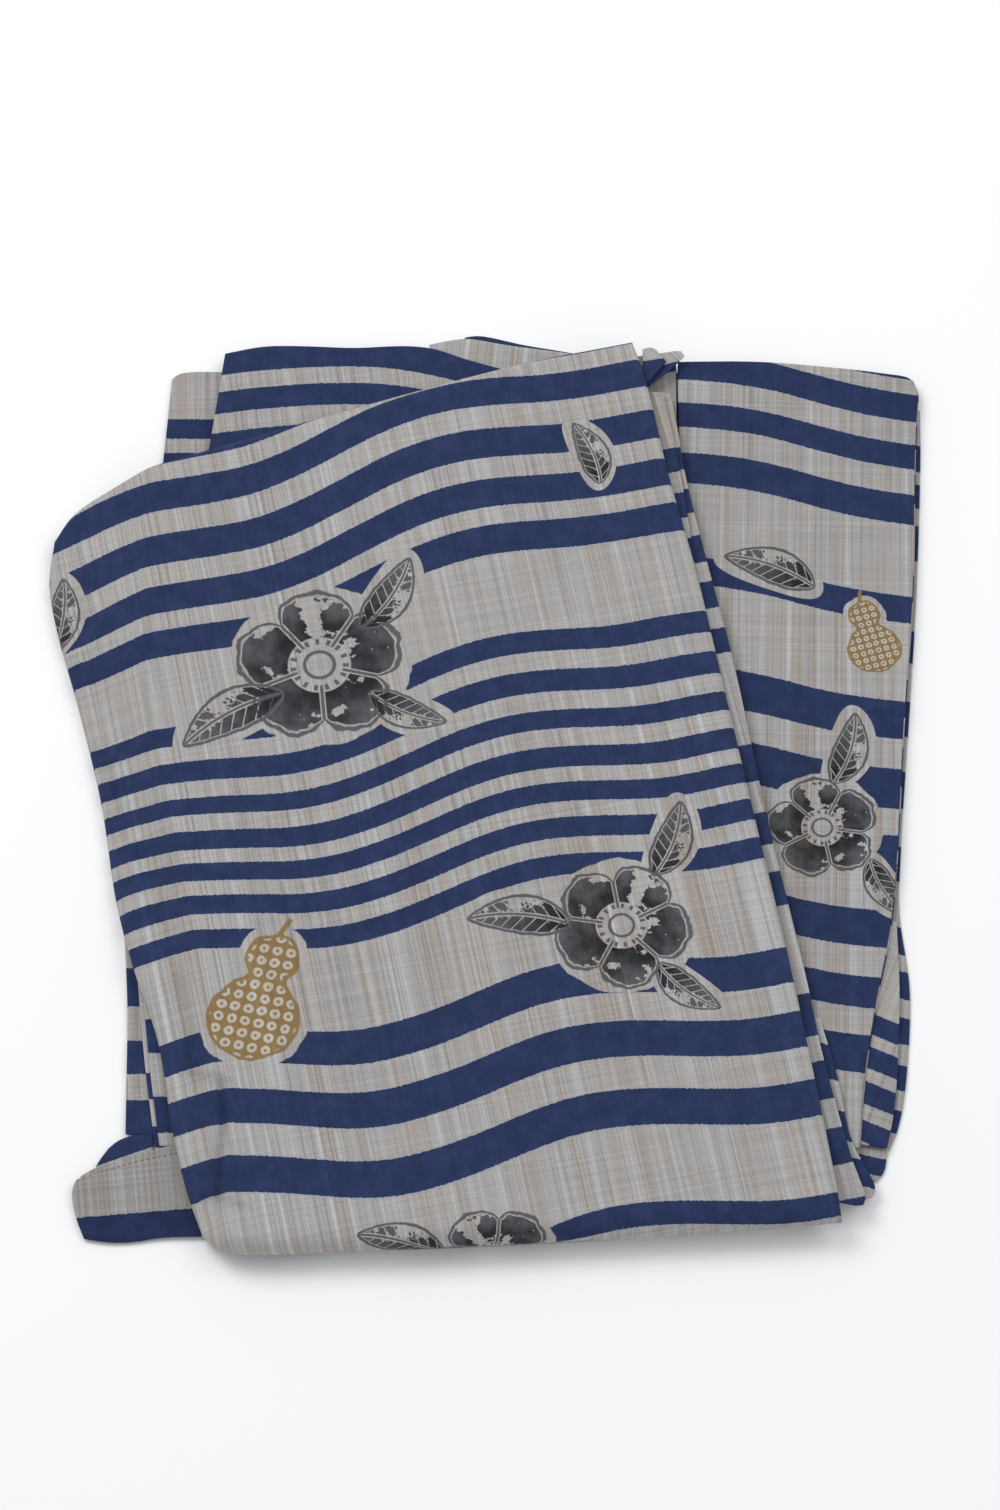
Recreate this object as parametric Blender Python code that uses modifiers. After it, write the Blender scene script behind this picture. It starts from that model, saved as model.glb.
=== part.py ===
"""A cotton yukata robe, folded into a flat pack that lies on a surface.

Metres, +Z up. The origin is under the middle of the pack, on the surface that it lies on.
+Y is the back of the pack, where the body is folded over, and +X is the side where the
right sleeve sticks out. Tables are in millimetres.
"""

import math

import bpy
import numpy as np

MM = 0.001
SEAM_GAP = 0.3  # between pieces that lie on each other
COLLECTION = "cotton_yukata"
PACK_MIDDLE = (2.5, 15.6)  # the tables' x, y of the origin, under the middle of the pack

# Heights above the surface
PACK_TOP = 25.0  # flat top of the body panel that wraps the pack
WRAP_WALL = 2.0
SLEEVE_TOP = 7.8  # sleeve and other cloth that sticks out of the pack
PLY = 2.5  # wall of a loose panel
CORE_TOP = PACK_TOP - WRAP_WALL - 2 * SEAM_GAP
SHELF_TOP = SLEEVE_TOP - PLY - SEAM_GAP
FAN_SEAT = 12.7  # where the fanned overlap panels start to rest on the core

NAVY = (0.025, 0.042, 0.130, 1.0)
BEIGE = (0.420, 0.385, 0.345, 1.0)
GREY_BEIGE = (0.350, 0.325, 0.300, 1.0)

# The wrapping body panel's outline. foot: height of the underside of its rounded fold.
# Columns: x, y, foot
WRAP_FRONT = [
    (-152, -270, 5.4),
    (-138, -280, 5.4),
    (-78, -280, 5.4),
    (9, -276, 5.4),
    (117, -270, 5.4),
    (150, -268, 8.0),
    (194, -265, 12.0),
]
WRAP_RIGHT = [
    (194, -265, 12.0),
    (192.5, -254, 18.0),
    (191.5, -246, 19.6),
    (185, -204, 19.6),
    (167, -98, 19.6),
    (156, -41, 19.6),
    (137, 60, 19.6),
    (122, 139, 19.6),
    (107, 204, 19.6),
    (95, 267, 19.6),
    (90, 285, 19.6),
    (87, 296, 14.0),
]
WRAP_BACK = [
    (-250, 168, 1.0),
    (-239, 185, 1.0),
    (-214, 201, 3.6),
    (-196, 211, 3.8),
    (-184, 215, 8.4),
    (-119, 237, 8.6),
    (-43, 262, 8.6),
    (11, 279, 8.6),
    (38, 286, 9.4),
    (62, 291, 11.0),
    (87, 296, 14.0),
]
# fold: height of the tight fold at the foot of the left slope. Columns: x, y, foot, fold
WRAP_LEFT = [
    (-152, -270, 5.4, 10.5),
    (-161, -245, 8.2, 7.5),
    (-170, -209, 9.4, 6.0),
    (-180, -153, 7.0, 6.0),
    (-195, -108, 6.8, 6.0),
    (-206, -66, 3.0, 6.0),
    (-217, -2, 1.0, 6.0),
    (-233, 62, 1.0, 6.0),
    (-246, 108, 1.0, 6.0),
    (-252, 140, 1.0, 7.0),
    (-250, 168, 1.0, 9.0),
]
# How far each rounded fold reaches out past the flat top
REACH = {"left": 4.0, "right": 4.0, "front": 10.0, "back": 10.0}
# The crease where the left slope begins, over the edge of the inner layers. Columns: y, x
CREASE = [(-290, -137), (-249, -140), (-197, -142), (-137, -153), (-50, -170), (51, -190), (123, -195), (300, -190)]
# Mesh of the wrapping panel. The slope's columns are shares of the way up to the crease,
# and the rows lie closer together at the front and back folds.
SLOPE_COLUMNS = [0.0, 0.3, 0.62, 0.86, 1.0, 1.16]
FLAT_COLUMNS = 9
ROWS_FROM_END = [0.0, 0.022, 0.055]
EVEN_ROWS = 14
FOLD_TURNS = 5
# Soft ridges of the top. Columns: x1, y1, x2, y2, height, half width
WRAP_RIDGES = [
    (-192, 130, -190, 40, 0.9, 7),
    (-160, -95, -146, -190, 0.8, 6),
    (-40, 215, 60, 250, 0.7, 22),
    (40, -60, 110, -200, 0.6, 26),
]

# Stations round the hidden layers, anticlockwise from the front left corner.
# a, b: place across and along the wrapping panel. x, y: edge of the lowest layers.
# shelf: how far the next layers stand out to the right of them. fan: how far the layers
# above the sleeve stand out past the wrapping panel's right edge.
CORE_STATIONS = [
    (0.00, 0.00, -143, -266, 0, -20),
    (0.25, 0.00, -70, -274, 0, -20),
    (0.50, 0.00, 20, -271, 0, -20),
    (0.75, 0.00, 110, -264, 0, -20),
    (1.00, 0.00, 180, -256, 0, -20),
    (1.00, 0.05, 189, -236, 0, -20),
    (1.00, 0.11, 195, -205, 0, -20),
    (1.00, 0.20, 200, -150, 0, -20),
    (1.00, 0.28, 209, -108, 0, -20),
    (1.00, 0.34, 216, -76, 1, 2),
    (1.00, 0.41, 220, -36, 9, 4),
    (1.00, 0.56, 228, 49, 9, 4),
    (1.00, 0.71, 236, 133, 9, 4),
    (1.00, 0.81, 239, 190, 9, -16),
    (1.00, 0.93, 243, 258, 9, -16),
    (1.00, 1.00, 236, 276, 4, -16),
    (0.97, 1.00, 170, 281, 0, -16),
    (0.93, 1.00, 95, 286, 0, -16),
    (0.77, 1.00, 20, 289, 0, -16),
    (0.56, 1.00, -60, 291, 0, -16),
    (0.36, 1.00, -136, 290, 0, -16),
    (0.32, 1.00, -146, 280, 0, -16),
    (0.29, 1.00, -146, 222, 0, -16),
    (0.24, 1.00, -158, 200, 0, -16),
    (0.12, 1.00, -205, 182, 0, -16),
    (0.00, 1.00, -236, 165, 0, 0),
    (0.00, 0.93, -243, 138, 0, 0),
    (0.00, 0.80, -233, 82, 0, 0),
    (0.00, 0.68, -219, 30, 0, 0),
    (0.00, 0.54, -206, -30, 0, 0),
    (0.00, 0.46, -194, -66, 0, 0),
    (0.00, 0.42, -172, -84, 0, 0),
    (0.00, 0.27, -168, -150, 0, 0),
    (0.00, 0.16, -162, -200, 0, 0),
    (0.00, 0.12, -144, -213, 0, 0),
]
CORE_STEPS = 2  # points from one station to the next
GROOVE = 1.1  # how deep the grooves between two bundles of layers are
ROUNDING = 0.6  # height over which a bundle's edge is rounded
STEP_RISE = 0.25  # from the top of a bundle's groove to the bundle above
# Inset of the upper layers from the wrapping panel's outline
CORE_INSET = {
    "fan": {"front": 14.0, "back": 15.0},
    "top": {"front": 16.0, "back": 17.0, "right": 19.0},
}
# Bundles of layers from the surface up. Columns: bottom, top, which outline
CORE_BUNDLES = [
    (0.0, 2.4, "low"),
    (2.4, SHELF_TOP, "shelf"),
    (SHELF_TOP, 8.85, "fan"),
    (8.85, FAN_SEAT, "fan"),
    (FAN_SEAT, 16.0, "top"),
    (16.0, 19.4, "top"),
    (19.4, CORE_TOP, "top"),
]

# Loose panels: the stretches that stick out of the pack. Each side is a smooth line
# through its rows. Columns: x, y, height of the top face.
# front and back run from left to right, left and right run from front to back.
LOOSE_PANELS = {
    "sleeve_right": {
        "front": [(190, -213, 7.8), (206, -216, 7.8)],
        "right": [
            (206, -216, 7.8),
            (211, -170, 7.8),
            (218, -130, 7.8),
            (229, -74, 7.8),
            (240, 49, 7.8),
            (248, 133, 7.8),
            (253, 229, 7.8),
            (255.7, 262, 7.8),
            (255.9, 268.5, 7.8),
            (253.8, 276.8, 7.8),
        ],
        "back": [
            (114, 291, 7.8),
            (160, 291, 7.8),
            (206, 287, 7.8),
            (239.5, 282.2, 7.8),
            (249, 280.4, 7.8),
            (253.8, 276.8, 7.8),
        ],
        "left": [
            (190, -213, 7.8),
            (182, -157, 7.8),
            (173, -98, 7.8),
            (162, -41, 7.8),
            (143, 60, 7.8),
            (128, 139, 7.8),
            (115, 195, 7.8),
            (114, 240, 7.8),
            (114, 291, 7.8),
        ],
        "wall": 2.5,
        "cells": (8, 20),
        "colour": GREY_BEIGE,
    },
    "sleeve_right_back": {
        "front": [(203, -224, 2.0), (209, -230, 2.0), (214.5, -234, 2.0)],
        "right": [
            (214.5, -234, 2.0),
            (219, -228, 2.0),
            (221, -219, 2.0),
            (227, -204, 2.0),
            (232, -181, 2.0),
            (237, -120, 2.0),
            (233, -70, 2.0),
            (235, -34, 2.0),
            (250, 133, 2.0),
            (256, 229, 2.0),
            (257, 260, 2.0),
        ],
        "back": [(245, 262, 2.0), (257, 260, 2.0)],
        "left": [
            (203, -224, 2.0),
            (204, -170, 2.0),
            (212, -120, 2.0),
            (220, -70, 2.0),
            (224, -34, 2.0),
            (239, 133, 2.0),
            (243, 200, 2.0),
            (245, 262, 2.0),
        ],
        "wall": 2.0,
        "cells": (2, 16),
        "colour": BEIGE,
    },
    "sleeve_right_inner": {
        "front": [(199, -211, 5.0), (221, -215, 5.0)],
        "right": [(221, -215, 5.0), (226, -190, 5.0), (231, -123, 5.0), (231, -78, 5.0)],
        "back": [(221, -72, 5.0), (231, -78, 5.0)],
        "left": [(199, -211, 5.0), (204, -160, 5.0), (212, -115, 5.0), (221, -72, 5.0)],
        "wall": 2.4,
        "cells": (2, 8),
        "colour": NAVY,
    },
    "body_panel_left": {
        "front": [(94, 206, 6.6), (112.5, 206, 6.6)],
        "right": [(112.5, 206, 6.6), (113.3, 284, 6.6)],
        "back": [(80, 284, 6.6), (113.3, 284, 6.6)],
        "left": [(94, 206, 6.6), (84, 260, 6.6), (80, 284, 6.6)],
        "wall": 1.3,
        "cells": (2, 4),
        "colour": BEIGE,
    },
    "overlap_panel_left": {
        "front": [(183, -246, 9.0), (199, -247, 8.5), (207.5, -246.6, 8.2), (212, -244.4, 8.0)],
        "right": [
            (212, -244.4, 8.0),
            (213.5, -240.5, 8.4),
            (206, -224, 10.6),
            (201, -212, 11.1),
            (194, -172, 11.1),
            (186, -140, 11.1),
        ],
        "back": [(166, -138, 11.1), (186, -140, 11.1)],
        "left": [(183, -246, 9.0), (176, -190, 11.1), (166, -138, 11.1)],
        "wall": 2.6,
        "cells": (4, 9),
        "colour": GREY_BEIGE,
    },
    "overlap_panel_right": {
        "front": [(176, -249, 14.4), (193.5, -250.8, 14.2), (203, -252.6, 14.0), (206.4, -252, 14.0)],
        "right": [
            (206.4, -252, 14.0),
            (207.4, -248.5, 14.3),
            (200, -223, 15.6),
            (186, -161, 15.9),
            (179, -118, 15.9),
            (159, -14, 15.9),
            (142, 87, 15.9),
            (129, 148, 15.9),
            (117, 209, 15.9),
            (113, 240, 15.9),
            (109, 264, 15.9),
        ],
        "back": [(90, 262, 15.9), (109, 264, 15.9)],
        "left": [
            (176, -249, 14.4),
            (165, -157, 15.9),
            (143, -41, 15.9),
            (124, 60, 15.9),
            (109, 139, 15.9),
            (94, 204, 15.9),
            (90, 262, 15.9),
        ],
        "wall": 2.6,
        "cells": (3, 24),
        "colour": BEIGE,
    },
    "collar": {
        "front": [(109, 142, 19.3), (122, 141, 19.3)],
        "right": [(122, 141, 19.3), (118, 178, 19.3), (112, 222, 19.3), (105, 262, 19.3)],
        "back": [(84, 262, 19.3), (105, 262, 19.3)],
        "left": [(109, 142, 19.3), (94, 204, 19.3), (84, 262, 19.3)],
        "wall": 2.6,
        "cells": (2, 8),
        "colour": NAVY,
    },
    "collar_end": {
        "front": [(86, 264, 19.3), (94, 267, 19.3)],
        "right": [(94, 267, 19.3), (101, 276, 18.8), (107, 284, 18.0)],
        "back": [(93, 292, 19.3), (99, 293, 18.8), (107, 284, 18.0)],
        "left": [(86, 264, 19.3), (90, 274, 19.3), (93, 282, 19.3), (93, 292, 19.3)],
        "wall": 2.2,
        "cells": (4, 4),
        "colour": NAVY,
    },
    "over_collar": {
        "front": [(90, 266, 15.9), (96, 268, 15.8)],
        "right": [(96, 268, 15.8), (108, 279, 15.2), (118, 290, 14.6)],
        "back": [(90, 289, 15.9), (106, 292, 15.2), (116, 293.5, 14.6), (118, 290, 14.6)],
        "left": [(90, 266, 15.9), (90, 289, 15.9)],
        "wall": 1.8,
        "cells": (4, 4),
        "colour": BEIGE,
    },
    "sleeve_left": {
        "front": [(-164, 213, 7.8), (-119, 228, 7.8), (-60, 248, 7.8), (-20, 262, 7.8), (12, 272, 7.8)],
        "right": [(12, 272, 7.8), (13, 284, 7.8)],
        "back": [
            (-154, 296, 7.8),
            (-128, 301, 7.8),
            (-79, 300, 7.8),
            (-44, 301, 7.8),
            (-30, 299, 7.8),
            (-10, 291.5, 7.8),
            (13, 284, 7.8),
        ],
        "left": [(-164, 213, 7.8), (-159, 253, 7.8), (-154, 296, 7.8)],
        "wall": 2.5,
        "cells": (14, 5),
        "colour": NAVY,
    },
    "sleeve_left_back": {
        "front": [(-190, 206, 3.0), (-154, 213, 3.0)],
        "right": [(-154, 213, 3.0), (-148.3, 228, 3.0), (-147.2, 250, 3.0), (-147.2, 286, 3.0)],
        "back": [(-185, 281, 3.0), (-180, 285, 3.0), (-147.2, 286, 3.0)],
        "left": [(-190, 206, 3.0), (-187, 250, 3.0), (-185, 281, 3.0)],
        "wall": 2.6,
        "cells": (4, 6),
        "colour": BEIGE,
    },
    "body_panel_hem": {
        "front": [(-34, 294.5, 5.0), (57, 292.5, 5.0)],
        "right": [(57, 292.5, 5.0), (56, 297, 5.0)],
        "back": [(-33, 304, 5.0), (-20, 307, 5.0), (-10, 308, 5.0), (11, 304, 5.0), (56, 297, 5.0)],
        "left": [(-34, 294.5, 5.0), (-33, 304, 5.0)],
        "wall": 2.4,
        "cells": (10, 2),
        "colour": BEIGE,
    },
    "body_panel_hem_back": {
        "front": [(-14, 293.5, 2.0), (57, 292, 2.0)],
        "right": [(57, 292, 2.0), (57, 299, 2.0)],
        "back": [(-12, 311, 2.0), (-4, 312, 2.0), (22, 306, 2.0), (57, 299, 2.0)],
        "left": [(-14, 293.5, 2.0), (-12, 311, 2.0)],
        "wall": 1.8,
        "cells": (8, 2),
        "colour": NAVY,
    },
    "body_panel_side_low": {
        "front": [(-196.5, -205.7, 3.0), (-180, -205.7, 3.0)],
        "right": [(-180, -205.7, 3.0), (-184, -150, 3.0), (-192, -100, 3.0), (-197, -84, 3.0)],
        "back": [(-201, -86, 3.0), (-197, -84, 3.0)],
        "left": [(-196.5, -205.7, 3.0), (-197, -174, 3.0), (-198, -128, 3.0), (-201, -86, 3.0)],
        "wall": 2.6,
        "cells": (2, 8),
        "colour": NAVY,
    },
    "body_panel_side_high": {
        "front": [(-180, -214, 6.2), (-166, -214, 6.2)],
        "right": [(-166, -214, 6.2), (-172, -150, 6.2), (-180, -104, 6.2)],
        "back": [(-193, -110, 6.2), (-180, -104, 6.2)],
        "left": [(-180, -214, 6.2), (-187, -165, 6.2), (-193, -110, 6.2)],
        "wall": 2.6,
        "cells": (2, 8),
        "colour": BEIGE,
    },
    "sleeve_left_end": {
        "front": [
            (-217, -267.5, 3.0),
            (-202, -269.5, 3.0),
            (-189, -269, 3.0),
            (-176, -267, 3.2),
            (-148, -266, 3.6),
        ],
        "right": [(-148, -266, 3.6), (-152, -240, 6.0), (-158, -213, 8.6)],
        "back": [
            (-220.7, -232.6, 5.6),
            (-211, -227, 6.5),
            (-199.5, -223, 7.4),
            (-184.5, -218.5, 8.3),
            (-170, -215, 8.6),
            (-158, -213, 8.6),
        ],
        "left": [
            (-217, -267.5, 3.0),
            (-222, -254.5, 3.4),
            (-224.2, -244, 4.2),
            (-223.6, -237.5, 4.9),
            (-220.7, -232.6, 5.6),
        ],
        "wall": 2.2,
        "cells": (8, 6),
        "colour": GREY_BEIGE,
    },
    "sleeve_left_end_back": {
        "front": [(-214, -231.5, 3.0), (-197, -226, 3.2), (-181, -222, 3.0)],
        "right": [(-181, -222, 3.0), (-181, -206.3, 3.0)],
        "back": [(-205.5, -215, 2.8), (-199, -209.5, 2.9), (-188, -206.3, 3.0), (-181, -206.3, 3.0)],
        "left": [(-214, -231.5, 3.0), (-211, -223.5, 2.9), (-205.5, -215, 2.8)],
        "wall": 2.4,
        "cells": (3, 3),
        "colour": NAVY,
    },
}
RIM_ROUNDING = 0.7  # bevel of a loose panel's edge


def clear_scene():
    for old in list(bpy.data.objects):
        bpy.data.objects.remove(old, do_unlink=True)


def new_collection(name):
    group = bpy.data.collections.new(name)
    bpy.context.scene.collection.children.link(group)
    return group


def cloth_material(name, colour):
    made = bpy.data.materials.new(name)
    made.use_nodes = True
    shader = made.node_tree.nodes["Principled BSDF"]
    shader.inputs["Base Color"].default_value = colour
    shader.inputs["Roughness"].default_value = 0.9
    shader.inputs["Metallic"].default_value = 0.0
    return made


def add_object(name, points, faces, colour, group):
    """A smooth-shaded mesh object from points in millimetres."""
    mesh = bpy.data.meshes.new(name)
    middle_x, middle_y = PACK_MIDDLE
    corners = [((x - middle_x) * MM, (y - middle_y) * MM, z * MM) for x, y, z in points]
    mesh.from_pydata(corners, [], faces)
    mesh.update()
    mesh.shade_smooth()
    made = bpy.data.objects.new(name, mesh)
    mesh.materials.append(cloth_material(name, colour))
    group.objects.link(made)
    return made


def curve_through(rows, steps=12, closed=False):
    """A centripetal Catmull-Rom curve through the rows' x, y. Other columns run straight."""
    rows = np.asarray(rows, float)
    if len(rows) == 2 and not closed:
        return rows
    if closed:
        ring = np.vstack([rows[-1:], rows, rows[:2]])
    else:
        ring = np.vstack([2 * rows[0] - rows[1], rows, 2 * rows[-1] - rows[-2]])
    knots = np.linalg.norm(np.diff(ring[:, :2], axis=0), axis=1) ** 0.5
    points = []
    for i in range(len(ring) - 3):
        p0, p1, p2, p3 = ring[i : i + 4]
        d0, d1, d2 = knots[i : i + 3]
        m1 = (p2 - p1) - (p2 - p0) * d1 / (d0 + d1) + (p1 - p0) * d1 / d0
        m2 = (p2 - p1) - (p3 - p1) * d1 / (d1 + d2) + (p3 - p2) * d1 / d2
        for k in range(steps):
            t = k / steps
            point = (
                (2 * t**3 - 3 * t**2 + 1) * p1
                + (t**3 - 2 * t**2 + t) * m1
                + (3 * t**2 - 2 * t**3) * p2
                + (t**3 - t**2) * m2
            )
            point[2:] = (1 - t) * p1[2:] + t * p2[2:]
            points.append(point)
    if not closed:
        points.append(rows[-1])
    return np.array(points)


class Side:
    """One side of a patch, read by the share of its length."""

    def __init__(self, rows):
        self.points = curve_through(rows)
        steps = np.linalg.norm(np.diff(self.points[:, :2], axis=0), axis=1)
        self.share = np.concatenate([[0.0], np.cumsum(steps)]) / steps.sum()

    def at(self, t):
        return np.array([np.interp(t, self.share, column) for column in self.points.T])


class Patch:
    """A four-sided sheet: every column of its sides, blended over the inside."""

    def __init__(self, front, right, back, left):
        self.front, self.right = Side(front), Side(right)
        self.back, self.left = Side(back), Side(left)

    def at(self, u, v):
        across = (1 - v) * self.front.at(u) + v * self.back.at(u)
        along = (1 - u) * self.left.at(v) + u * self.right.at(v)
        corners = (
            (1 - u) * (1 - v) * self.front.at(0)
            + u * (1 - v) * self.front.at(1)
            + (1 - u) * v * self.back.at(0)
            + u * v * self.back.at(1)
        )
        return across + along - corners


def smooth_step_below_one(t, softness=0.06):
    """t up to 1, then 1, with a rounded corner."""
    return 0.5 * (t + 1 - math.sqrt((t - 1) ** 2 + softness**2))


def ridge_height(x, y, ridges):
    """Soft ridges, each along a line from (x1, y1) to (x2, y2)."""
    height = 0.0
    for x1, y1, x2, y2, top, half_width in ridges:
        length = math.hypot(x2 - x1, y2 - y1)
        along = ((x - x1) * (x2 - x1) + (y - y1) * (y2 - y1)) / length
        aside = ((x - x1) * (y2 - y1) - (y - y1) * (x2 - x1)) / length
        past = max(0.0, -along, along - length) / (2 * half_width)
        height += top * math.exp(-((aside / half_width) ** 2) - past**2)
    return height


class WrappingPanel:
    """The body panel that wraps the pack: flat top, left slope and rounded folds."""

    def __init__(self):
        left_side = [row[:3] for row in WRAP_LEFT]
        self.patch = Patch(WRAP_FRONT, WRAP_RIGHT, WRAP_BACK, left_side)
        left = curve_through(WRAP_LEFT)
        self.left_y, self.left_x = left[:, 1], left[:, 0]
        self.left_height = left[:, 2] + left[:, 3]
        crease = curve_through(CREASE)
        self.crease_y, self.crease_x = crease[:, 0], crease[:, 1]
        self.width = np.linalg.norm(self.patch.at(1, 0.5)[:2] - self.patch.at(0, 0.5)[:2])
        self.depth = np.linalg.norm(self.patch.at(0.5, 1)[:2] - self.patch.at(0.5, 0)[:2])

    def slope(self, y):
        """The left slope at y: where it starts and ends, and the height where it starts."""
        start = np.interp(y, self.left_y, self.left_x) + REACH["left"]
        end = np.interp(y, self.crease_y, self.crease_x)
        return start, end, np.interp(y, self.left_y, self.left_height)

    def slope_share(self, x, y):
        """0 at the left fold, 1 at the crease and beyond."""
        start, end, _ = self.slope(y)
        return (x - start) / (end - start)

    def top(self, x, y):
        low = self.slope(y)[2]
        share = smooth_step_below_one(self.slope_share(x, y))
        return low + (PACK_TOP - low) * share + ridge_height(x, y, WRAP_RIDGES)

    def inset(self, a, b, left, right, front, back):
        """The place (a, b) of the panel once each side is drawn in, in millimetres."""
        u = left / self.width + a * (1 - (left + right) / self.width)
        v = front / self.depth + b * (1 - (front + back) / self.depth)
        return self.patch.at(u, v)

    def columns(self, v):
        """Where the mesh's columns cross row v: down the slope, then over the flat top."""
        low, high = REACH["left"] / self.width, 1 - REACH["right"] / self.width
        tries = np.linspace(low, 0.6, 60)
        shares = [self.slope_share(*self.patch.at(u, v)[:2]) for u in tries]
        slope = [np.interp(share, shares, tries) for share in SLOPE_COLUMNS]
        slope[0] = low
        flat = np.linspace(slope[-1], high, FLAT_COLUMNS + 1)[1:]
        return np.array(slope + list(flat))

    def rows(self):
        """The mesh's flat rows, front to back, and the outline's point beside each rim point."""
        low, high = REACH["front"] / self.depth, 1 - REACH["back"] / self.depth
        left, right = REACH["left"] / self.width, REACH["right"] / self.width
        top, outline = [], {}
        near = ROWS_FROM_END[-1]
        shares = ROWS_FROM_END[:-1] + list(np.linspace(near, 1 - near, EVEN_ROWS + 1))
        shares += [1 - share for share in ROWS_FROM_END[-2::-1]]
        for j, b in enumerate(shares):
            v = low + (high - low) * b
            places = self.columns(v)
            top.append([self.patch.at(u, v)[:2] for u in places])
            for i, u in enumerate(places):
                if b in (0.0, 1.0) or i in (0, len(places) - 1):
                    a = (u - left) / (1 - left - right)
                    outline[i, j] = self.patch.at(a, b)
        return top, outline

    def build(self, group):
        top, outline = self.rows()
        across, along = len(top[0]) - 1, len(top) - 1
        points = [(x, y, self.top(x, y)) for line in top for x, y in line]
        faces = []
        row = across + 1
        for j in range(along):
            for i in range(across):
                k = j * row + i
                faces.append((k, k + 1, k + 1 + row, k + row))
        loop = [(i, 0) for i in range(across)]
        loop += [(across, j) for j in range(along)]
        loop += [(i, along) for i in range(across, 0, -1)]
        loop += [(0, j) for j in range(along, 0, -1)]
        rim = [points[j * row + i] for i, j in loop]
        last = [j * row + i for i, j in loop]
        for turn in range(1, FOLD_TURNS + 1):
            angle = math.pi * turn / FOLD_TURNS
            out = math.sin(angle)
            down = (1 - math.cos(angle)) / 2
            ring = []
            for (x, y, z), place in zip(rim, loop):
                out_x, out_y, foot = outline[place]
                ring.append(len(points))
                points.append((x + (out_x - x) * out, y + (out_y - y) * out, z - (z - foot) * down))
            for k in range(len(loop)):
                n = (k + 1) % len(loop)
                faces.append((last[n], last[k], ring[k], ring[n]))
            last = ring
        made = add_object("body_panel_right", points, faces, BEIGE, group)
        wall = made.modifiers.new("cloth wall", "SOLIDIFY")
        wall.thickness = WRAP_WALL * MM
        wall.offset = -1
        return made


def core_outline(which, z, wrap):
    """The stations of one outline of the hidden layers, as x, y rows."""
    rows = []
    for a, b, low_x, low_y, shelf, fan in CORE_STATIONS:
        if which == "low":
            rows.append((low_x, low_y))
        elif which == "shelf":
            rows.append((low_x + shelf, low_y))
        else:
            inset = CORE_INSET[which]
            right = inset.get("right", -fan)
            x, y, _ = wrap.inset(a, b, 0, right, inset["front"], inset["back"])
            # On the left the layers lie under the slope, so they start where it is high enough.
            start, end, low = wrap.slope(y)
            share = (z + WRAP_WALL + 3 * SEAM_GAP - low) / (PACK_TOP - low)
            needed = start + (end - start) * max(0.12, share * 1.12)
            beside = low_x + 1.5 if a == 0 else x
            rows.append((max(x, needed, beside), y))
    return rows


def shrink(points, by):
    """A closed outline drawn in by a distance."""
    along = np.roll(points, -1, axis=0) - np.roll(points, 1, axis=0)
    inward = np.stack([-along[:, 1], along[:, 0]], axis=1)
    inward /= np.linalg.norm(inward, axis=1)[:, None]
    return points + inward * by


def build_core(wrap, group):
    """The hidden layers: one rounded solid whose sides show bundles of folded cloth."""
    points, faces, rings = [], [], []
    for bottom, top, which in CORE_BUNDLES:
        outline = curve_through(core_outline(which, top, wrap), CORE_STEPS, closed=True)
        last = top if top == CORE_TOP else top - STEP_RISE
        rings.append((bottom, shrink(outline, GROOVE)))
        rings.append((bottom + ROUNDING, outline))
        rings.append((last - ROUNDING, outline))
        rings.append((last, shrink(outline, GROOVE)))
    count = len(rings[0][1])
    for z, outline in rings:
        points.extend((x, y, z) for x, y in outline)
    for ring in range(len(rings) - 1):
        for k in range(count):
            n = (k + 1) % count
            low, high = ring * count, (ring + 1) * count
            faces.append((low + k, low + n, high + n, high + k))
    faces.append(tuple(range(count))[::-1])
    faces.append(tuple(range(len(points) - count, len(points))))
    return add_object("folded_core", points, faces, GREY_BEIGE, group)


def build_loose_panel(name, spec, group):
    """A panel that sticks out of the pack, as a sheet with a wall and rounded edges."""
    patch = Patch(spec["front"], spec["right"], spec["back"], spec["left"])
    across, along = spec["cells"]
    row = across + 1
    points = [patch.at(i / across, j / along) for j in range(along + 1) for i in range(row)]
    faces = []
    for j in range(along):
        for i in range(across):
            k = j * row + i
            faces.append((k, k + 1, k + 1 + row, k + row))
    made = add_object(name, points, faces, spec["colour"], group)
    wall = made.modifiers.new("cloth wall", "SOLIDIFY")
    wall.thickness = spec["wall"] * MM
    wall.offset = -1
    rim = made.modifiers.new("folded rim", "BEVEL")
    rim.width = RIM_ROUNDING * MM
    rim.segments = 2
    rim.limit_method = "ANGLE"
    rim.angle_limit = math.radians(50)
    return made


def build():
    clear_scene()
    group = new_collection(COLLECTION)
    wrap = WrappingPanel()
    build_core(wrap, group)
    wrap.build(group)
    for name, spec in LOOSE_PANELS.items():
        build_loose_panel(name, spec, group)


build()
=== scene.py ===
"""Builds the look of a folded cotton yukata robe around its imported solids."""

import math

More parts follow.
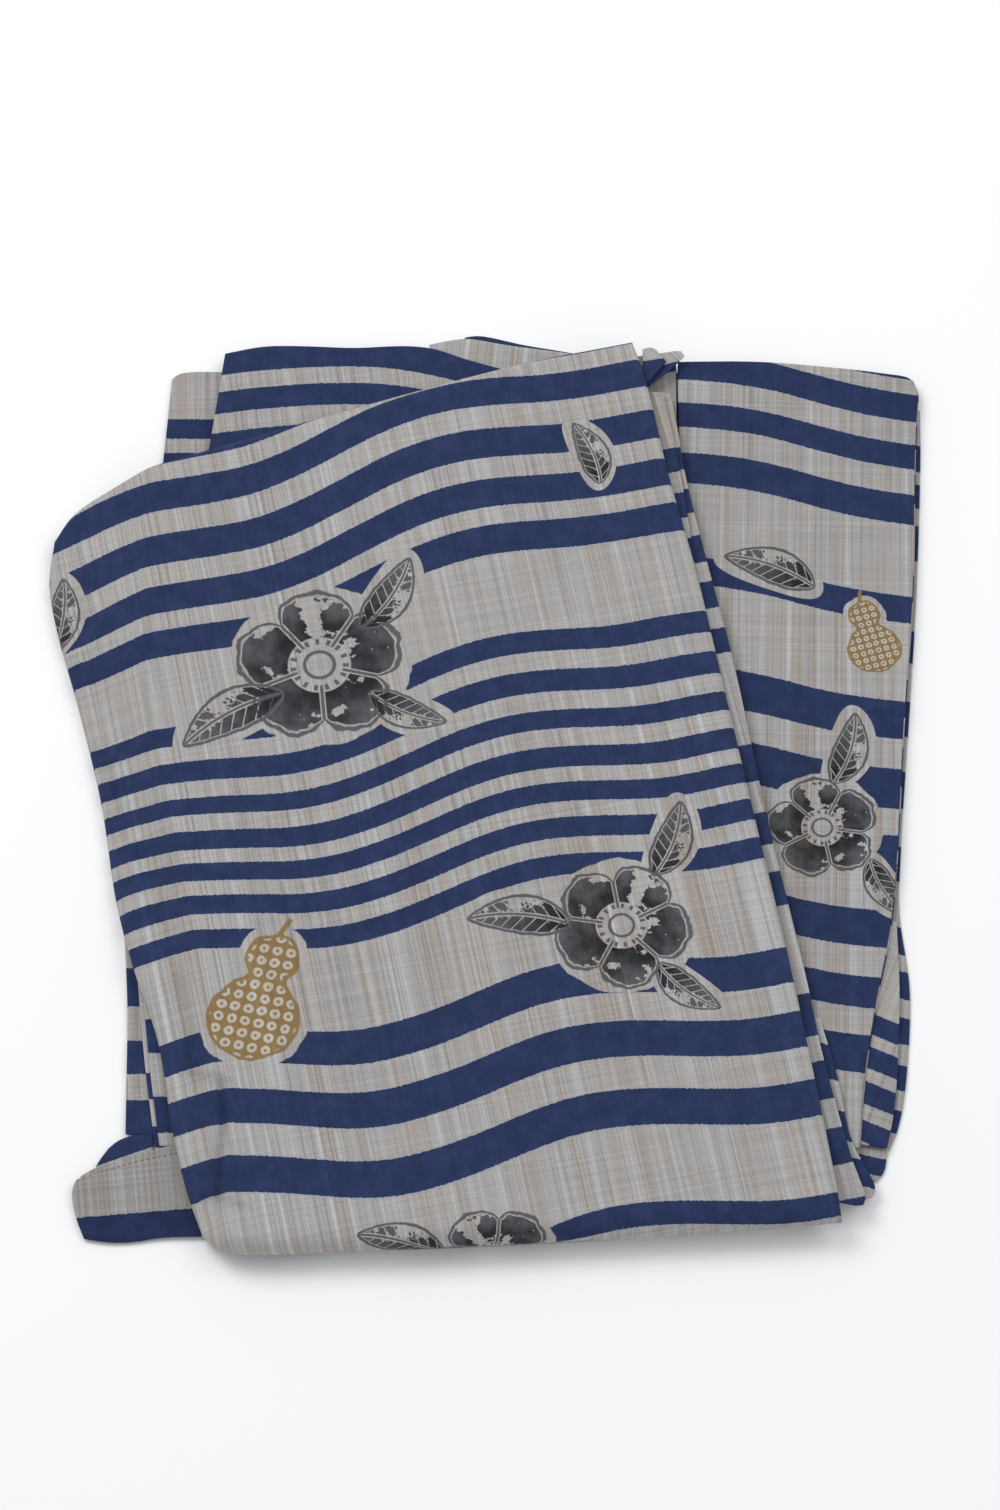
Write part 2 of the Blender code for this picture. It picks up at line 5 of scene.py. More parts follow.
import bpy
import numpy as np
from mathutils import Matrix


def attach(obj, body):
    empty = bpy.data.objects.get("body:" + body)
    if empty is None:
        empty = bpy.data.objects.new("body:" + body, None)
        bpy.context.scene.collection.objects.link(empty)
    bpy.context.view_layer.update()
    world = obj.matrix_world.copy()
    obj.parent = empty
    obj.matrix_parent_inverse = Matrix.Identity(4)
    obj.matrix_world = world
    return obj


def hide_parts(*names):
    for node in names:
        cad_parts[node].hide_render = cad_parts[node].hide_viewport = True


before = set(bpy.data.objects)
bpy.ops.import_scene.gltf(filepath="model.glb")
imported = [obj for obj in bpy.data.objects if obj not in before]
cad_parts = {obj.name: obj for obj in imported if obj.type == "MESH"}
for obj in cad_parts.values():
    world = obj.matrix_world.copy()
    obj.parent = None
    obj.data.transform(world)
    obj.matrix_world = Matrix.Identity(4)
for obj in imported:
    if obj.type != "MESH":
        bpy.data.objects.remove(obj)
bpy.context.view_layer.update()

MM = 0.001
# On the wrapping panel, FAR_FROM_HEM also stands for no painted crease shadow.
FAR_FROM_HEM = 60.0  # millimetres from the hem that a point counts as when it is nowhere near
PACK_MIDDLE = (2.5, 15.6)  # the tables' x, y of the origin
SEAM_GAP = 0.3

# Heights above the surface, in millimetres, as all tables are
PACK_TOP = 25.0
WRAP_WALL = 2.0
SLEEVE_TOP = 7.8
PLY = 2.5
CORE_TOP = PACK_TOP - WRAP_WALL - 2 * SEAM_GAP
SHELF_TOP = SLEEVE_TOP - PLY - SEAM_GAP
FAN_SEAT = 12.7
# The wrapping body panel's outline. foot: height of the underside of its rounded fold.
# Columns: x, y, foot
WRAP_FRONT = [
    (-152, -270, 5.4), (-138, -280, 5.4), (-78, -280, 5.4), (9, -276, 5.4), (117, -270, 5.4), (150, -268, 8.0),
    (194, -265, 12.0),
]
WRAP_RIGHT = [
    (194, -265, 12.0), (192.5, -254, 18.0), (191.5, -246, 19.6), (185, -204, 19.6), (167, -98, 19.6),
    (156, -41, 19.6), (137, 60, 19.6), (122, 139, 19.6), (107, 204, 19.6), (95, 267, 19.6), (90, 285, 19.6),
    (87, 296, 14.0),
]
WRAP_BACK = [
    (-250, 168, 1.0), (-239, 185, 1.0), (-214, 201, 3.6), (-196, 211, 3.8), (-184, 215, 8.4), (-119, 237, 8.6),
    (-43, 262, 8.6), (11, 279, 8.6), (38, 286, 9.4), (62, 291, 11.0), (87, 296, 14.0),
]
# fold: height of the tight fold at the foot of the left slope. Columns: x, y, foot, fold
WRAP_LEFT = [
    (-152, -270, 5.4, 10.5), (-161, -245, 8.2, 7.5), (-170, -209, 9.4, 6.0), (-180, -153, 7.0, 6.0),
    (-195, -108, 6.8, 6.0), (-206, -66, 3.0, 6.0), (-217, -2, 1.0, 6.0), (-233, 62, 1.0, 6.0), (-246, 108, 1.0, 6.0),
    (-252, 140, 1.0, 7.0), (-250, 168, 1.0, 9.0),
]
# How far each rounded fold reaches out past the flat top
REACH = {"left": 4.0, "right": 4.0, "front": 10.0, "back": 10.0}
# The crease where the left slope begins, over the edge of the inner layers. Columns: y, x
CREASE = [
    (-290, -137), (-249, -140), (-197, -142), (-137, -153), (-50, -170), (51, -190), (123, -195), (300, -190),
]
# Soft ridges of the top. Columns: x1, y1, x2, y2, height, half width
WRAP_RIDGES = [
    (-192, 130, -190, 40, 0.9, 7), (-160, -95, -146, -190, 0.8, 6), (-40, 215, 60, 250, 0.7, 22),
    (40, -60, 110, -200, 0.6, 26),
]

# Stations round the hidden layers, anticlockwise from the front left corner.
# a, b: place across and along the wrapping panel. x, y: edge of the lowest layers.
# shelf: how far the next layers stand out to the right of them. fan: how far the layers
# above the sleeve stand out past the wrapping panel's right edge.
CORE_STATIONS = [
    (0.0, 0.0, -143, -266, 0, -20), (0.25, 0.0, -70, -274, 0, -20), (0.5, 0.0, 20, -271, 0, -20),
    (0.75, 0.0, 110, -264, 0, -20), (1.0, 0.0, 180, -256, 0, -20), (1.0, 0.05, 189, -236, 0, -20),
    (1.0, 0.11, 195, -205, 0, -20), (1.0, 0.2, 200, -150, 0, -20), (1.0, 0.28, 209, -108, 0, -20),
    (1.0, 0.34, 216, -76, 1, 2), (1.0, 0.41, 220, -36, 9, 4), (1.0, 0.56, 228, 49, 9, 4), (1.0, 0.71, 236, 133, 9, 4),
    (1.0, 0.81, 239, 190, 9, -16), (1.0, 0.93, 243, 258, 9, -16), (1.0, 1.0, 236, 276, 4, -16),
    (0.97, 1.0, 170, 281, 0, -16), (0.93, 1.0, 95, 286, 0, -16), (0.77, 1.0, 20, 289, 0, -16),
    (0.56, 1.0, -60, 291, 0, -16), (0.36, 1.0, -136, 290, 0, -16), (0.32, 1.0, -146, 280, 0, -16),
    (0.29, 1.0, -146, 222, 0, -16), (0.24, 1.0, -158, 200, 0, -16), (0.12, 1.0, -205, 182, 0, -16),
    (0.0, 1.0, -236, 165, 0, 0), (0.0, 0.93, -243, 138, 0, 0), (0.0, 0.8, -233, 82, 0, 0),
    (0.0, 0.68, -219, 30, 0, 0), (0.0, 0.54, -206, -30, 0, 0), (0.0, 0.46, -194, -66, 0, 0),
    (0.0, 0.42, -172, -84, 0, 0), (0.0, 0.27, -168, -150, 0, 0), (0.0, 0.16, -162, -200, 0, 0),
    (0.0, 0.12, -144, -213, 0, 0),
]
# Inset of the upper layers from the wrapping panel's outline
CORE_INSET = {
    "fan": {"front": 14.0, "back": 15.0},
    "top": {"front": 16.0, "back": 17.0, "right": 19.0},
}
# Bundles of layers from the surface up. Columns: bottom, top, which outline
CORE_BUNDLES = [
    (0.0, 2.4, "low"), (2.4, SHELF_TOP, "shelf"), (SHELF_TOP, 8.85, "fan"), (8.85, FAN_SEAT, "fan"),
    (FAN_SEAT, 16.0, "top"), (16.0, 19.4, "top"), (19.4, CORE_TOP, "top"),
]

# Loose panels: the stretches that stick out of the pack. Each side is a smooth line through its rows.
# Columns: x, y, and the height of the top face where a panel has no height of its own.
# front and back run from left to right. left and right run from front to back, between their ends.
LOOSE_PANELS = {
    "sleeve_right": {
        "height": 7.8, "front": [(190, -213), (206, -216)],
        "back": [(114, 291), (160, 291), (206, 287), (239.5, 282.2), (249, 280.4), (253.8, 276.8)],
        "left": [(182, -157), (173, -98), (162, -41), (143, 60), (128, 139), (115, 195), (114, 240)],
        "right": [
            (211, -170), (218, -130), (229, -74), (240, 49), (248, 133), (253, 229), (255.7, 262), (255.9, 268.5),
        ],
    },
    "sleeve_right_back": {
        "height": 2.0, "front": [(203, -224), (209, -230), (214.5, -234)], "back": [(245, 262), (257, 260)],
        "left": [(204, -170), (212, -120), (220, -70), (224, -34), (239, 133), (243, 200)],
        "right": [
            (219, -228), (221, -219), (227, -204), (232, -181), (237, -120), (233, -70), (235, -34), (250, 133),
            (256, 229),
        ],
    },
    "sleeve_right_inner": {
        "height": 5.0, "front": [(199, -211), (221, -215)], "back": [(221, -72), (231, -78)],
        "left": [(204, -160), (212, -115)], "right": [(226, -190), (231, -123)],
    },
    "body_panel_left": {
        "height": 6.6, "front": [(94, 206), (112.5, 206)], "back": [(79, 291), (113.4, 291)], "left": [(84, 260)],
        "right": [],
    },
    "overlap_panel_left": {
        "front": [(183, -246, 9.0), (199, -247, 8.5), (207.5, -246.6, 8.2), (212, -244.4, 8.0)],
        "back": [(166, -138, 11.1), (186, -140, 11.1)], "left": [(176, -190, 11.1)],
        "right": [(213.5, -240.5, 8.4), (206, -224, 10.6), (201, -212, 11.1), (194, -172, 11.1)],
    },
    "overlap_panel_right": {
        "front": [(176, -249, 14.4), (193.5, -250.8, 14.2), (203, -252.6, 14.0), (206.4, -252, 14.0)],
        "back": [(90, 262, 15.9), (109, 264, 15.9)],
        "left": [(165, -157, 15.9), (143, -41, 15.9), (124, 60, 15.9), (109, 139, 15.9), (94, 204, 15.9)],
        "right": [
            (207.4, -248.5, 14.3), (200, -223, 15.6), (186, -161, 15.9), (179, -118, 15.9), (159, -14, 15.9),
            (142, 87, 15.9), (129, 148, 15.9), (117, 209, 15.9), (113, 240, 15.9),
        ],
    },
    "collar": {
        "height": 19.3, "front": [(109, 142), (122, 141)], "back": [(84, 262), (105, 262)], "left": [(94, 204)],
        "right": [(118, 178), (112, 222)],
    },
    "collar_end": {
        "front": [(86, 264, 19.3), (94, 267, 19.3)], "back": [(93, 292, 19.3), (99, 293, 18.8), (107, 284, 18.0)],
        "left": [(90, 274, 19.3), (93, 282, 19.3)], "right": [(101, 276, 18.8)],
    },
    "over_collar": {
        "front": [(90, 266, 15.9), (96, 268, 15.8)],
        "back": [(90, 289, 15.9), (106, 292, 15.2), (116, 293.5, 14.6), (118, 290, 14.6)], "left": [],
        "right": [(108, 279, 15.2)],
    },
    "sleeve_left": {
        "height": 7.8, "front": [(-164, 213), (-119, 228), (-60, 248), (-20, 262), (12, 272)],
        "back": [(-154, 296), (-128, 301), (-79, 300), (-44, 301), (-30, 299), (-10, 291.5), (13, 284)],
        "left": [(-159, 253)], "right": [],
    },
    "sleeve_left_back": {
        "height": 3.0, "front": [(-190, 206), (-154, 213)], "back": [(-185, 281), (-180, 285), (-147.2, 286)],
        "left": [(-187, 250)], "right": [(-148.3, 228), (-147.2, 250)],
    },
    "body_panel_hem": {
        "height": 5.0, "front": [(-34, 289), (57, 287)],
        "back": [(-33, 304), (-20, 307), (-10, 308), (11, 304), (56, 297)], "left": [], "right": [],
    },
    "body_panel_hem_back": {
        "height": 2.0, "front": [(-14, 288.5), (57, 286.5)], "back": [(-12, 311), (-4, 312), (22, 306), (57, 299)],
        "left": [], "right": [],
    },
    "body_panel_side_low": {
        "height": 3.0, "front": [(-196.5, -205.7), (-180, -205.7)], "back": [(-201, -86), (-197, -84)],
        "left": [(-197, -174), (-198, -128)], "right": [(-184, -150), (-192, -100)],
    },
    "body_panel_side_high": {
        "height": 6.2, "front": [(-180, -214), (-166, -214)], "back": [(-193, -110), (-180, -104)],
        "left": [(-187, -165)], "right": [(-172, -150)],
    },
    "sleeve_left_end": {
        "front": [(-217, -267.5, 3.0), (-202, -269.5, 3.0), (-189, -269, 3.0), (-176, -267, 3.2), (-148, -266, 3.6)],
        "back": [
            (-220.7, -232.6, 5.6), (-211, -227, 6.5), (-199.5, -223, 7.4), (-184.5, -218.5, 8.3), (-170, -215, 8.6),
            (-158, -213, 8.6),
        ],
        "left": [(-222, -254.5, 3.4), (-224.2, -244, 4.2), (-223.6, -237.5, 4.9)], "right": [(-152, -240, 6.0)],
    },
    "sleeve_left_end_back": {
        "front": [(-214, -231.5, 3.0), (-197, -226, 3.2), (-181, -222, 3.0)],
        "back": [(-205.5, -215, 2.8), (-199, -209.5, 2.9), (-188, -206.3, 3.0), (-181, -206.3, 3.0)],
        "left": [(-211, -223.5, 2.9)], "right": [],
    },
}

# How each loose panel's cloth looks. plies: thin sheets that make it up, the top one first.
# Ply columns: depth below the panel's top, thickness, inset left, right, front, back, shift of its stripes.
# shade: how much darker a panel is that lies in the others' shadow.
# seam: how far its sewing is from its back edge.
# turn: degrees from +X to the cloth's crosswise threads. rise: how its stripes climb to the right.
# bands: y at which each navy stripe starts and ends, where it crosses the panel's middle.
LOOKS = {
    "sleeve_right": {
        "plies": [(0.0, 1.3, 0, 0.8, 0, 0.8, 0), (1.5, 1.0, 1, 0, 1, 3, -15)], "turn": -2, "shade": 0.95,
    },
    "sleeve_right_back": {
        "plies": [(0.0, 1.0, 0, 0, 0, 0, 0), (1.1, 0.9, 2, 2.5, 2, 1, -9)], "turn": -6, "rise": -0.25,
        "bands": [
            (-229.5, -219), (-202.6, -189), (-177, -162), (-149, -133), (-122, -105.5), (-95, -78), (-50, -28),
            (-4, 20), (42, 65), (90, 112), (158, 182), (194, 210), (219, 237),
        ],
    },
    "sleeve_right_inner": {
        "plies": [(0.0, 1.1, 0, 0, 0, 0, 0), (1.3, 1.0, 1, 2, 1, 1, -12)], "turn": -20, "rise": -0.44,
        "bands": [(-212.5, -200), (-190.5, -177), (-169, -156), (-148.5, -136)],
    },
    "body_panel_left": {
        "plies": [(0.0, 1.2, 0, 0, 0, 0, 0)], "turn": 3, "rise": 0.3, "bands": [(213, 230), (280, 300)],
        "shade": 0.85,
    },
    "overlap_panel_left": {
        "plies": [(0.0, 1.2, 0, 0, 0, 0, 0), (1.4, 1.1, 2, 2.5, 3, 2, 12)], "turn": 13, "rise": -0.3,
        "bands": [(-237, -221), (-211.5, -193.5), (-175, -153)],
    },
    "overlap_panel_right": {
        "plies": [(0.0, 1.2, 0, 0, 0, 0, 0), (1.4, 1.1, 2, 1.6, 2, 2, -14)], "turn": 12, "rise": 0.2,
        "bands": [
            (-262, -251.2), (-231, -210), (-192.5, -169.5), (-154.5, -129), (-74, -53), (-36, -16), (4, 27),
            (87, 103), (117, 134), (147, 165), (180, 196), (209, 224),
        ],
    },
    "collar": {
        "plies": [(0.0, 1.2, 0, 0, 0, 0, 0), (1.4, 1.1, 1, 1.5, 1, 1, 10)], "turn": 13, "rise": 0.2,
        "bands": [(145.5, 161.5), (175, 192), (206, 222)], "shade": 0.9,
    },
    "collar_end": {
        "plies": [(0.0, 1.1, 0, 0, 0, 0, 0), (1.3, 0.9, 1, 1.6, 1, 1.6, 0)], "turn": 30, "rise": 0.3,
        "bands": [(250, 285)],
    },
    "over_collar": {
        "plies": [(0.0, 0.9, 0, 0, 0, 0, 0), (1.1, 0.7, 1, 2, 1, 2, 30)], "turn": 40, "rise": 0.5,
        "bands": [(255, 281)],
    },
    "sleeve_left": {
        "plies": [(0.0, 1.3, 0, 0, 0, 0, 0), (1.5, 1.0, 1.5, 1, 1, 1.2, 8)], "turn": 8,
    },
    "sleeve_left_back": {
        "plies": [(0.0, 1.2, 0, 0, 0, 0, 0), (1.4, 1.1, 1.5, 1, 1, 1.5, 0)], "turn": 2,
        "bands": [(205, 213), (220.4, 230.2), (240.1, 253.5)], "shade": 0.94,
    },
    "body_panel_hem": {
        "plies": [(0.0, 1.1, 0, 0, 0, 0, 0), (1.3, 1.0, 1, 1, 1, 1.5, 0)], "turn": -6, "bands": [(270, 280)],
    },
    "body_panel_hem_back": {
        "plies": [(0.0, 0.8, 0, 0, 0, 0, 0), (0.95, 0.8, 1, 1, 1, 1.2, 40)], "turn": -10, "bands": [(270, 330)],
    },
    "body_panel_side_low": {
        "plies": [(0.0, 1.2, 0, 0, 0, 0, 0), (1.4, 1.1, 1.8, 1, 1, 1, 9)], "turn": 4,
        "bands": [(-214, -186), (-170, -150), (-129, -105.5)],
    },
    "body_panel_side_high": {
        "plies": [(0.0, 1.2, 2.5, 0, 0, 2, 200), (1.4, 1.1, 0, 0, 0, 0, 0)], "turn": 8,
        "bands": [(-221, -203), (-187, -171), (-7, 15), (40.5, 61.5)],
    },
    "sleeve_left_end": {
        "plies": [(0.0, 1.1, 0, 0, 0, 3.2, 0), (1.15, 0.9, 1.0, 0, 1.5, 0, 0)], "turn": 6, "rise": 0.08, "seam": 1.7,
        "bands": [(-290, -253.2)], "shade": 0.82,
    },
    "sleeve_left_end_back": {
        "plies": [(0.0, 1.1, 0, 0, 0, 0, 0), (1.3, 1.0, 1.5, 0, 0, 1.5, 0)], "turn": 20, "rise": 0.39,
        "bands": [(-219.5, -200)],
    },
}

# Stripes of the three large panels, along the cloth from its front right corner.
# Columns: start, end
BODY_BANDS = [
    (-46, -23), (1.5, 14.8), (60.8, 83), (102.5, 125), (142.5, 164), (219, 232), (243, 256), (266.5, 279),
    (289, 302.6), (314.5, 326.8), (339, 354), (366.8, 381), (436.5, 456), (468, 486.5), (501, 520.5), (536.5, 555.5),
    (569, 588), (603, 622),
]
SLEEVE_BANDS = [
    (44, 67), (84, 103), (122, 145), (169, 193), (210, 235), (254.5, 279), (330, 348), (396, 416), (434, 451),
    (466.5, 485.5), (495.5, 512),
]
LEFT_SLEEVE_BANDS = [(-120, -106), (-95, -79), (-69, -54), (-41, -26), (-14.5, 12)]
# How far the stripes climb where they cross the cloth at s. Columns: s, near the front, near the back
BODY_WAVE = [
    (-400, 14, -36), (-343, 22.5, -33), (-320, 20.5, -28), (-300, 16.5, -25), (-280, 10.5, -26), (-260, 4.5, -26),
    (-240, -1, -27), (-220, -1, -25), (-200, 1, -18), (-180, 5, -12), (-160, 10, -3), (-140, 15, 3), (-120, 17, 7),
    (-100, 16, 8), (-80, 12, 6), (-60, 8, 3), (-40, 3, 0), (-20, 0, 0), (20, 1, 1),
]
SLEEVE_WAVE = [
    (-120, 20, 24), (-100, 18, 24), (-80, 15, 23), (-60, 12, 20), (-50, 9, 18), (-40, 7, 15), (-30, 4, 12),
    (-20, 2, 8), (0, 0, 4), (20, -1, 0), (60, -2, -4),
]
LEFT_SLEEVE_WAVE = [
    (-20, 0, 0), (30, 0, 0), (50, -2, -2), (70, -4, -4), (90, -7, -7), (110, -13, -13), (130, -22, -22),
    (150, -31, -31),
]
# Where the body's stripes lie further back, each along a line. Columns: x1, y1, x2, y2, how far, half width
BODY_SHIFTS = [(-225, 12, -209, -39, 8.1, 25.6), (-196, 84, -140, 98, -2.3, 14), (100, 112, 140, 0, 2.6, 30)]
# Columns: origin x, y, turn in degrees, wave, where the back wave starts to count, where it counts in full, power,
# shifts
LARGE_CLOTHS = {
    "body_panel_right": (192, -266, 11.5, BODY_WAVE, 110, 450, 1.5, BODY_SHIFTS),
    "sleeve_right": (206, -216, -2.0, SLEEVE_WAVE, 200, 450, 1.0, []),
    "sleeve_left": (-154, 296, 8.0, LEFT_SLEEVE_WAVE, -100, 0, 1.0, []),
}
# Motifs of the print. Columns: kind, s, t, turn in degrees, size
BODY_MOTIFS = [
    ("flower", -212, 392, 12, 50), ("leaf", -268, 372, 200, 33), ("leaf", -163, 428, 48, 27),
    ("leaf", -170, 352, -35, 24), ("flower", -78, 196, -20, 40), ("leaf", -132, 214, 165, 29),
    ("leaf", -38, 242, 60, 25), ("leaf", -52, 150, -50, 22), ("gourd", -282, 196, -24, 46),
    ("flower", -186, 12, 40, 34), ("leaf", -232, 34, 150, 26), ("leaf", -352, 462, 70, 24),
    ("leaf", -30, 500, 100, 22),
]
SLEEVE_MOTIFS = [
    ("flower", -22, 196, 30, 33), ("leaf", -6, 246, 75, 24), ("leaf", 12, 158, -60, 20), ("leaf", -52, 366, 160, 28),
    ("gourd", 4, 322, 18, 28),
]
# Sharp creases of the wrapping panel that hold a soft shadow. Columns: x1, y1, x2, y2, shadow's depth, half width
WRAP_SHADOWS = [
    (-143.5, -188, -142.5, -247, 1.0, 2.9), (-162, -176, -141, -184, 0.55, 2.2), (-152, -250, -133, -257, 0.6, 2.4),
    (-215, 20, -196, -40, 0.35, 4.0), (-168, -120, -158, -176, 0.35, 3.0), (-193.5, 114, -190, 22, 0.3, 1.8),
]
# Creases of the wrapping panel. Columns: x1, y1, x2, y2, height, half width
WRAP_CREASES = [
    (-138.5, -192, -137.5, -246, 0.9, 3.0), (-143.5, -190, -142.5, -248, -1.4, 2.4),
    (-161, -177, -142, -184, 0.8, 2.0), (-151, -251, -134, -257, 0.9, 2.2), (-236, 96, -214, -12, 0.9, 5.0),
    (-226, 84, -205, -30, -0.7, 5.0), (-214, 186, -150, 206, 0.8, 9.0), (-222, 170, -168, 188, -0.6, 7.0),
    (-98, 176, -40, 120, 0.5, 16.0), (40, 206, 92, 110, 0.5, 14.0), (-64, -110, -24, -222, 0.5, 15.0),
    (96, -40, 138, -170, 0.45, 12.0), (-120, 30, -104, -70, -0.45, 12.0), (10, -236, 120, -238, 0.5, 7.0),
    (-186, 60, -176, 0, -0.8, 6.0), (-205, -60, -186, -130, 0.6, 5.0), (-60, 232, 20, 262, -0.5, 8.0),
    (-192, 114, -188.5, 22, -0.5, 2.6),
]


def curve_through(rows, steps=12, closed=False):
    """A centripetal Catmull-Rom curve through the rows' x, y. Other columns run straight."""
    rows = np.asarray(rows, float)
    if len(rows) == 2 and not closed:
        return rows
    if closed:
        ring = np.vstack([rows[-1:], rows, rows[:2]])
    else:
        ring = np.vstack([2 * rows[0] - rows[1], rows, 2 * rows[-1] - rows[-2]])
    knots = np.linalg.norm(np.diff(ring[:, :2], axis=0), axis=1) ** 0.5
    points = []
    for i in range(len(ring) - 3):
        p0, p1, p2, p3 = ring[i : i + 4]
        d0, d1, d2 = knots[i : i + 3]
        m1 = (p2 - p1) - (p2 - p0) * d1 / (d0 + d1) + (p1 - p0) * d1 / d0
        m2 = (p2 - p1) - (p3 - p1) * d1 / (d1 + d2) + (p3 - p2) * d1 / d2
        for k in range(steps):
            t = k / steps
            point = (
                (2 * t**3 - 3 * t**2 + 1) * p1
                + (t**3 - 2 * t**2 + t) * m1
                + (3 * t**2 - 2 * t**3) * p2
                + (t**3 - t**2) * m2
            )
            point[2:] = (1 - t) * p1[2:] + t * p2[2:]
            points.append(point)
    if not closed:
        points.append(rows[-1])
    return np.array(points)


class Side:
    """One side of a patch, read by the share of its length."""

    def __init__(self, rows):
        self.points = curve_through(rows)
        steps = np.linalg.norm(np.diff(self.points[:, :2], axis=0), axis=1)
        self.share = np.concatenate([[0.0], np.cumsum(steps)]) / steps.sum()

    def at(self, t):
        return np.stack([np.interp(t, self.share, column) for column in self.points.T], axis=-1)


class Patch:
    """A four-sided sheet: every column of its sides, blended over the inside."""

    def __init__(self, front, right, back, left):
        self.front, self.right = Side(front), Side(right)
        self.back, self.left = Side(back), Side(left)

    def at(self, u, v):
        u, v = np.broadcast_arrays(np.asarray(u, float), np.asarray(v, float))
        a, b = u[..., None], v[..., None]
        across = (1 - b) * self.front.at(u) + b * self.back.at(u)
        along = (1 - a) * self.left.at(v) + a * self.right.at(v)
        corners = (
            (1 - a) * (1 - b) * self.front.at(0.0)
            + a * (1 - b) * self.front.at(1.0)
            + (1 - a) * b * self.back.at(0.0)
            + a * b * self.back.at(1.0)
        )
        return across + along - corners

    def size(self):
        """Its width and depth through the middle."""
        across, along = self.at(1, 0.5) - self.at(0, 0.5), self.at(0.5, 1) - self.at(0.5, 0)
        return np.linalg.norm(across[:2]), np.linalg.norm(along[:2])


def panel_patch(spec):
    """The patch of a loose panel, with its height and its corners filled in."""
    front, back, left, right = (
        [(*row, spec["height"]) if "height" in spec else row for row in spec[side]]
        for side in ("front", "back", "left", "right")
    )
    return Patch(front, [front[-1], *right, back[-1]], back, [front[0], *left, back[0]])


def ridge_height(x, y, ridges):
    """Soft ridges and troughs, each along a line from (x1, y1) to (x2, y2)."""
    height = np.zeros_like(x)
    for x1, y1, x2, y2, top, half_width in ridges:
        length = math.hypot(x2 - x1, y2 - y1)
        along = ((x - x1) * (x2 - x1) + (y - y1) * (y2 - y1)) / length
        aside = ((x - x1) * (y2 - y1) - (y - y1) * (x2 - x1)) / length
        bend = aside + 0.9 * np.sin(along / 11.0)
        past = np.maximum(0.0, np.maximum(-along, along - length)) / (2 * half_width)
        height += top * np.exp(-((bend / half_width) ** 2) - past**2)
    return height


def soft_unevenness(x, y, length, seed):
    """Long soft waves of the cloth, from -1 to 1."""
    rng = np.random.default_rng(seed)
    total = np.zeros_like(x)
    for _ in range(7):
        turn, phase, stretch = rng.uniform(0, math.pi), rng.uniform(0, 2 * math.pi), rng.uniform(0.7, 1.6)
        total += np.sin((x * math.cos(turn) + y * math.sin(turn)) * 2 * math.pi / (length * stretch) + phase)
    return total / 4.5


def soft_interp(s, table, column):
    """A column of a table at s, with its corners rounded."""
    return sum(np.interp(s + step, table[:, 0], table[:, column]) for step in (-18, -9, 0, 9, 18)) / 5


class Cloth:
    """Where a point of a panel lies on its cloth, and on the stripes printed on it."""

    def __init__(self, name, look=None, middle=None):
        self.middle = middle
        if name in LARGE_CLOTHS:
            self.x, self.y, turn, wave, self.start, self.full, self.power, self.shifts = LARGE_CLOTHS[name]
            self.wave = np.array(wave, float)
        else:
            self.x, self.y, turn, self.wave = 0.0, 0.0, look["turn"], None
            self.rise = look.get("rise", 0.0)
        self.cos, self.sin = math.cos(math.radians(turn)), math.sin(math.radians(turn))

    def place(self, x, y):
        """s across the cloth and t along it."""
        return (
            (x - self.x) * self.cos + (y - self.y) * self.sin,
            (y - self.y) * self.cos - (x - self.x) * self.sin,
        )

    def stripes(self, s, t, x, y):
        if self.wave is None:
            return y - self.rise * (x - self.middle)
        share = np.clip((t - self.start) / (self.full - self.start), 0, 1) ** self.power
        near, far = soft_interp(s, self.wave, 1), soft_interp(s, self.wave, 2)
        return t - (1 - share) * near - share * far - ridge_height(x, y, self.shifts)


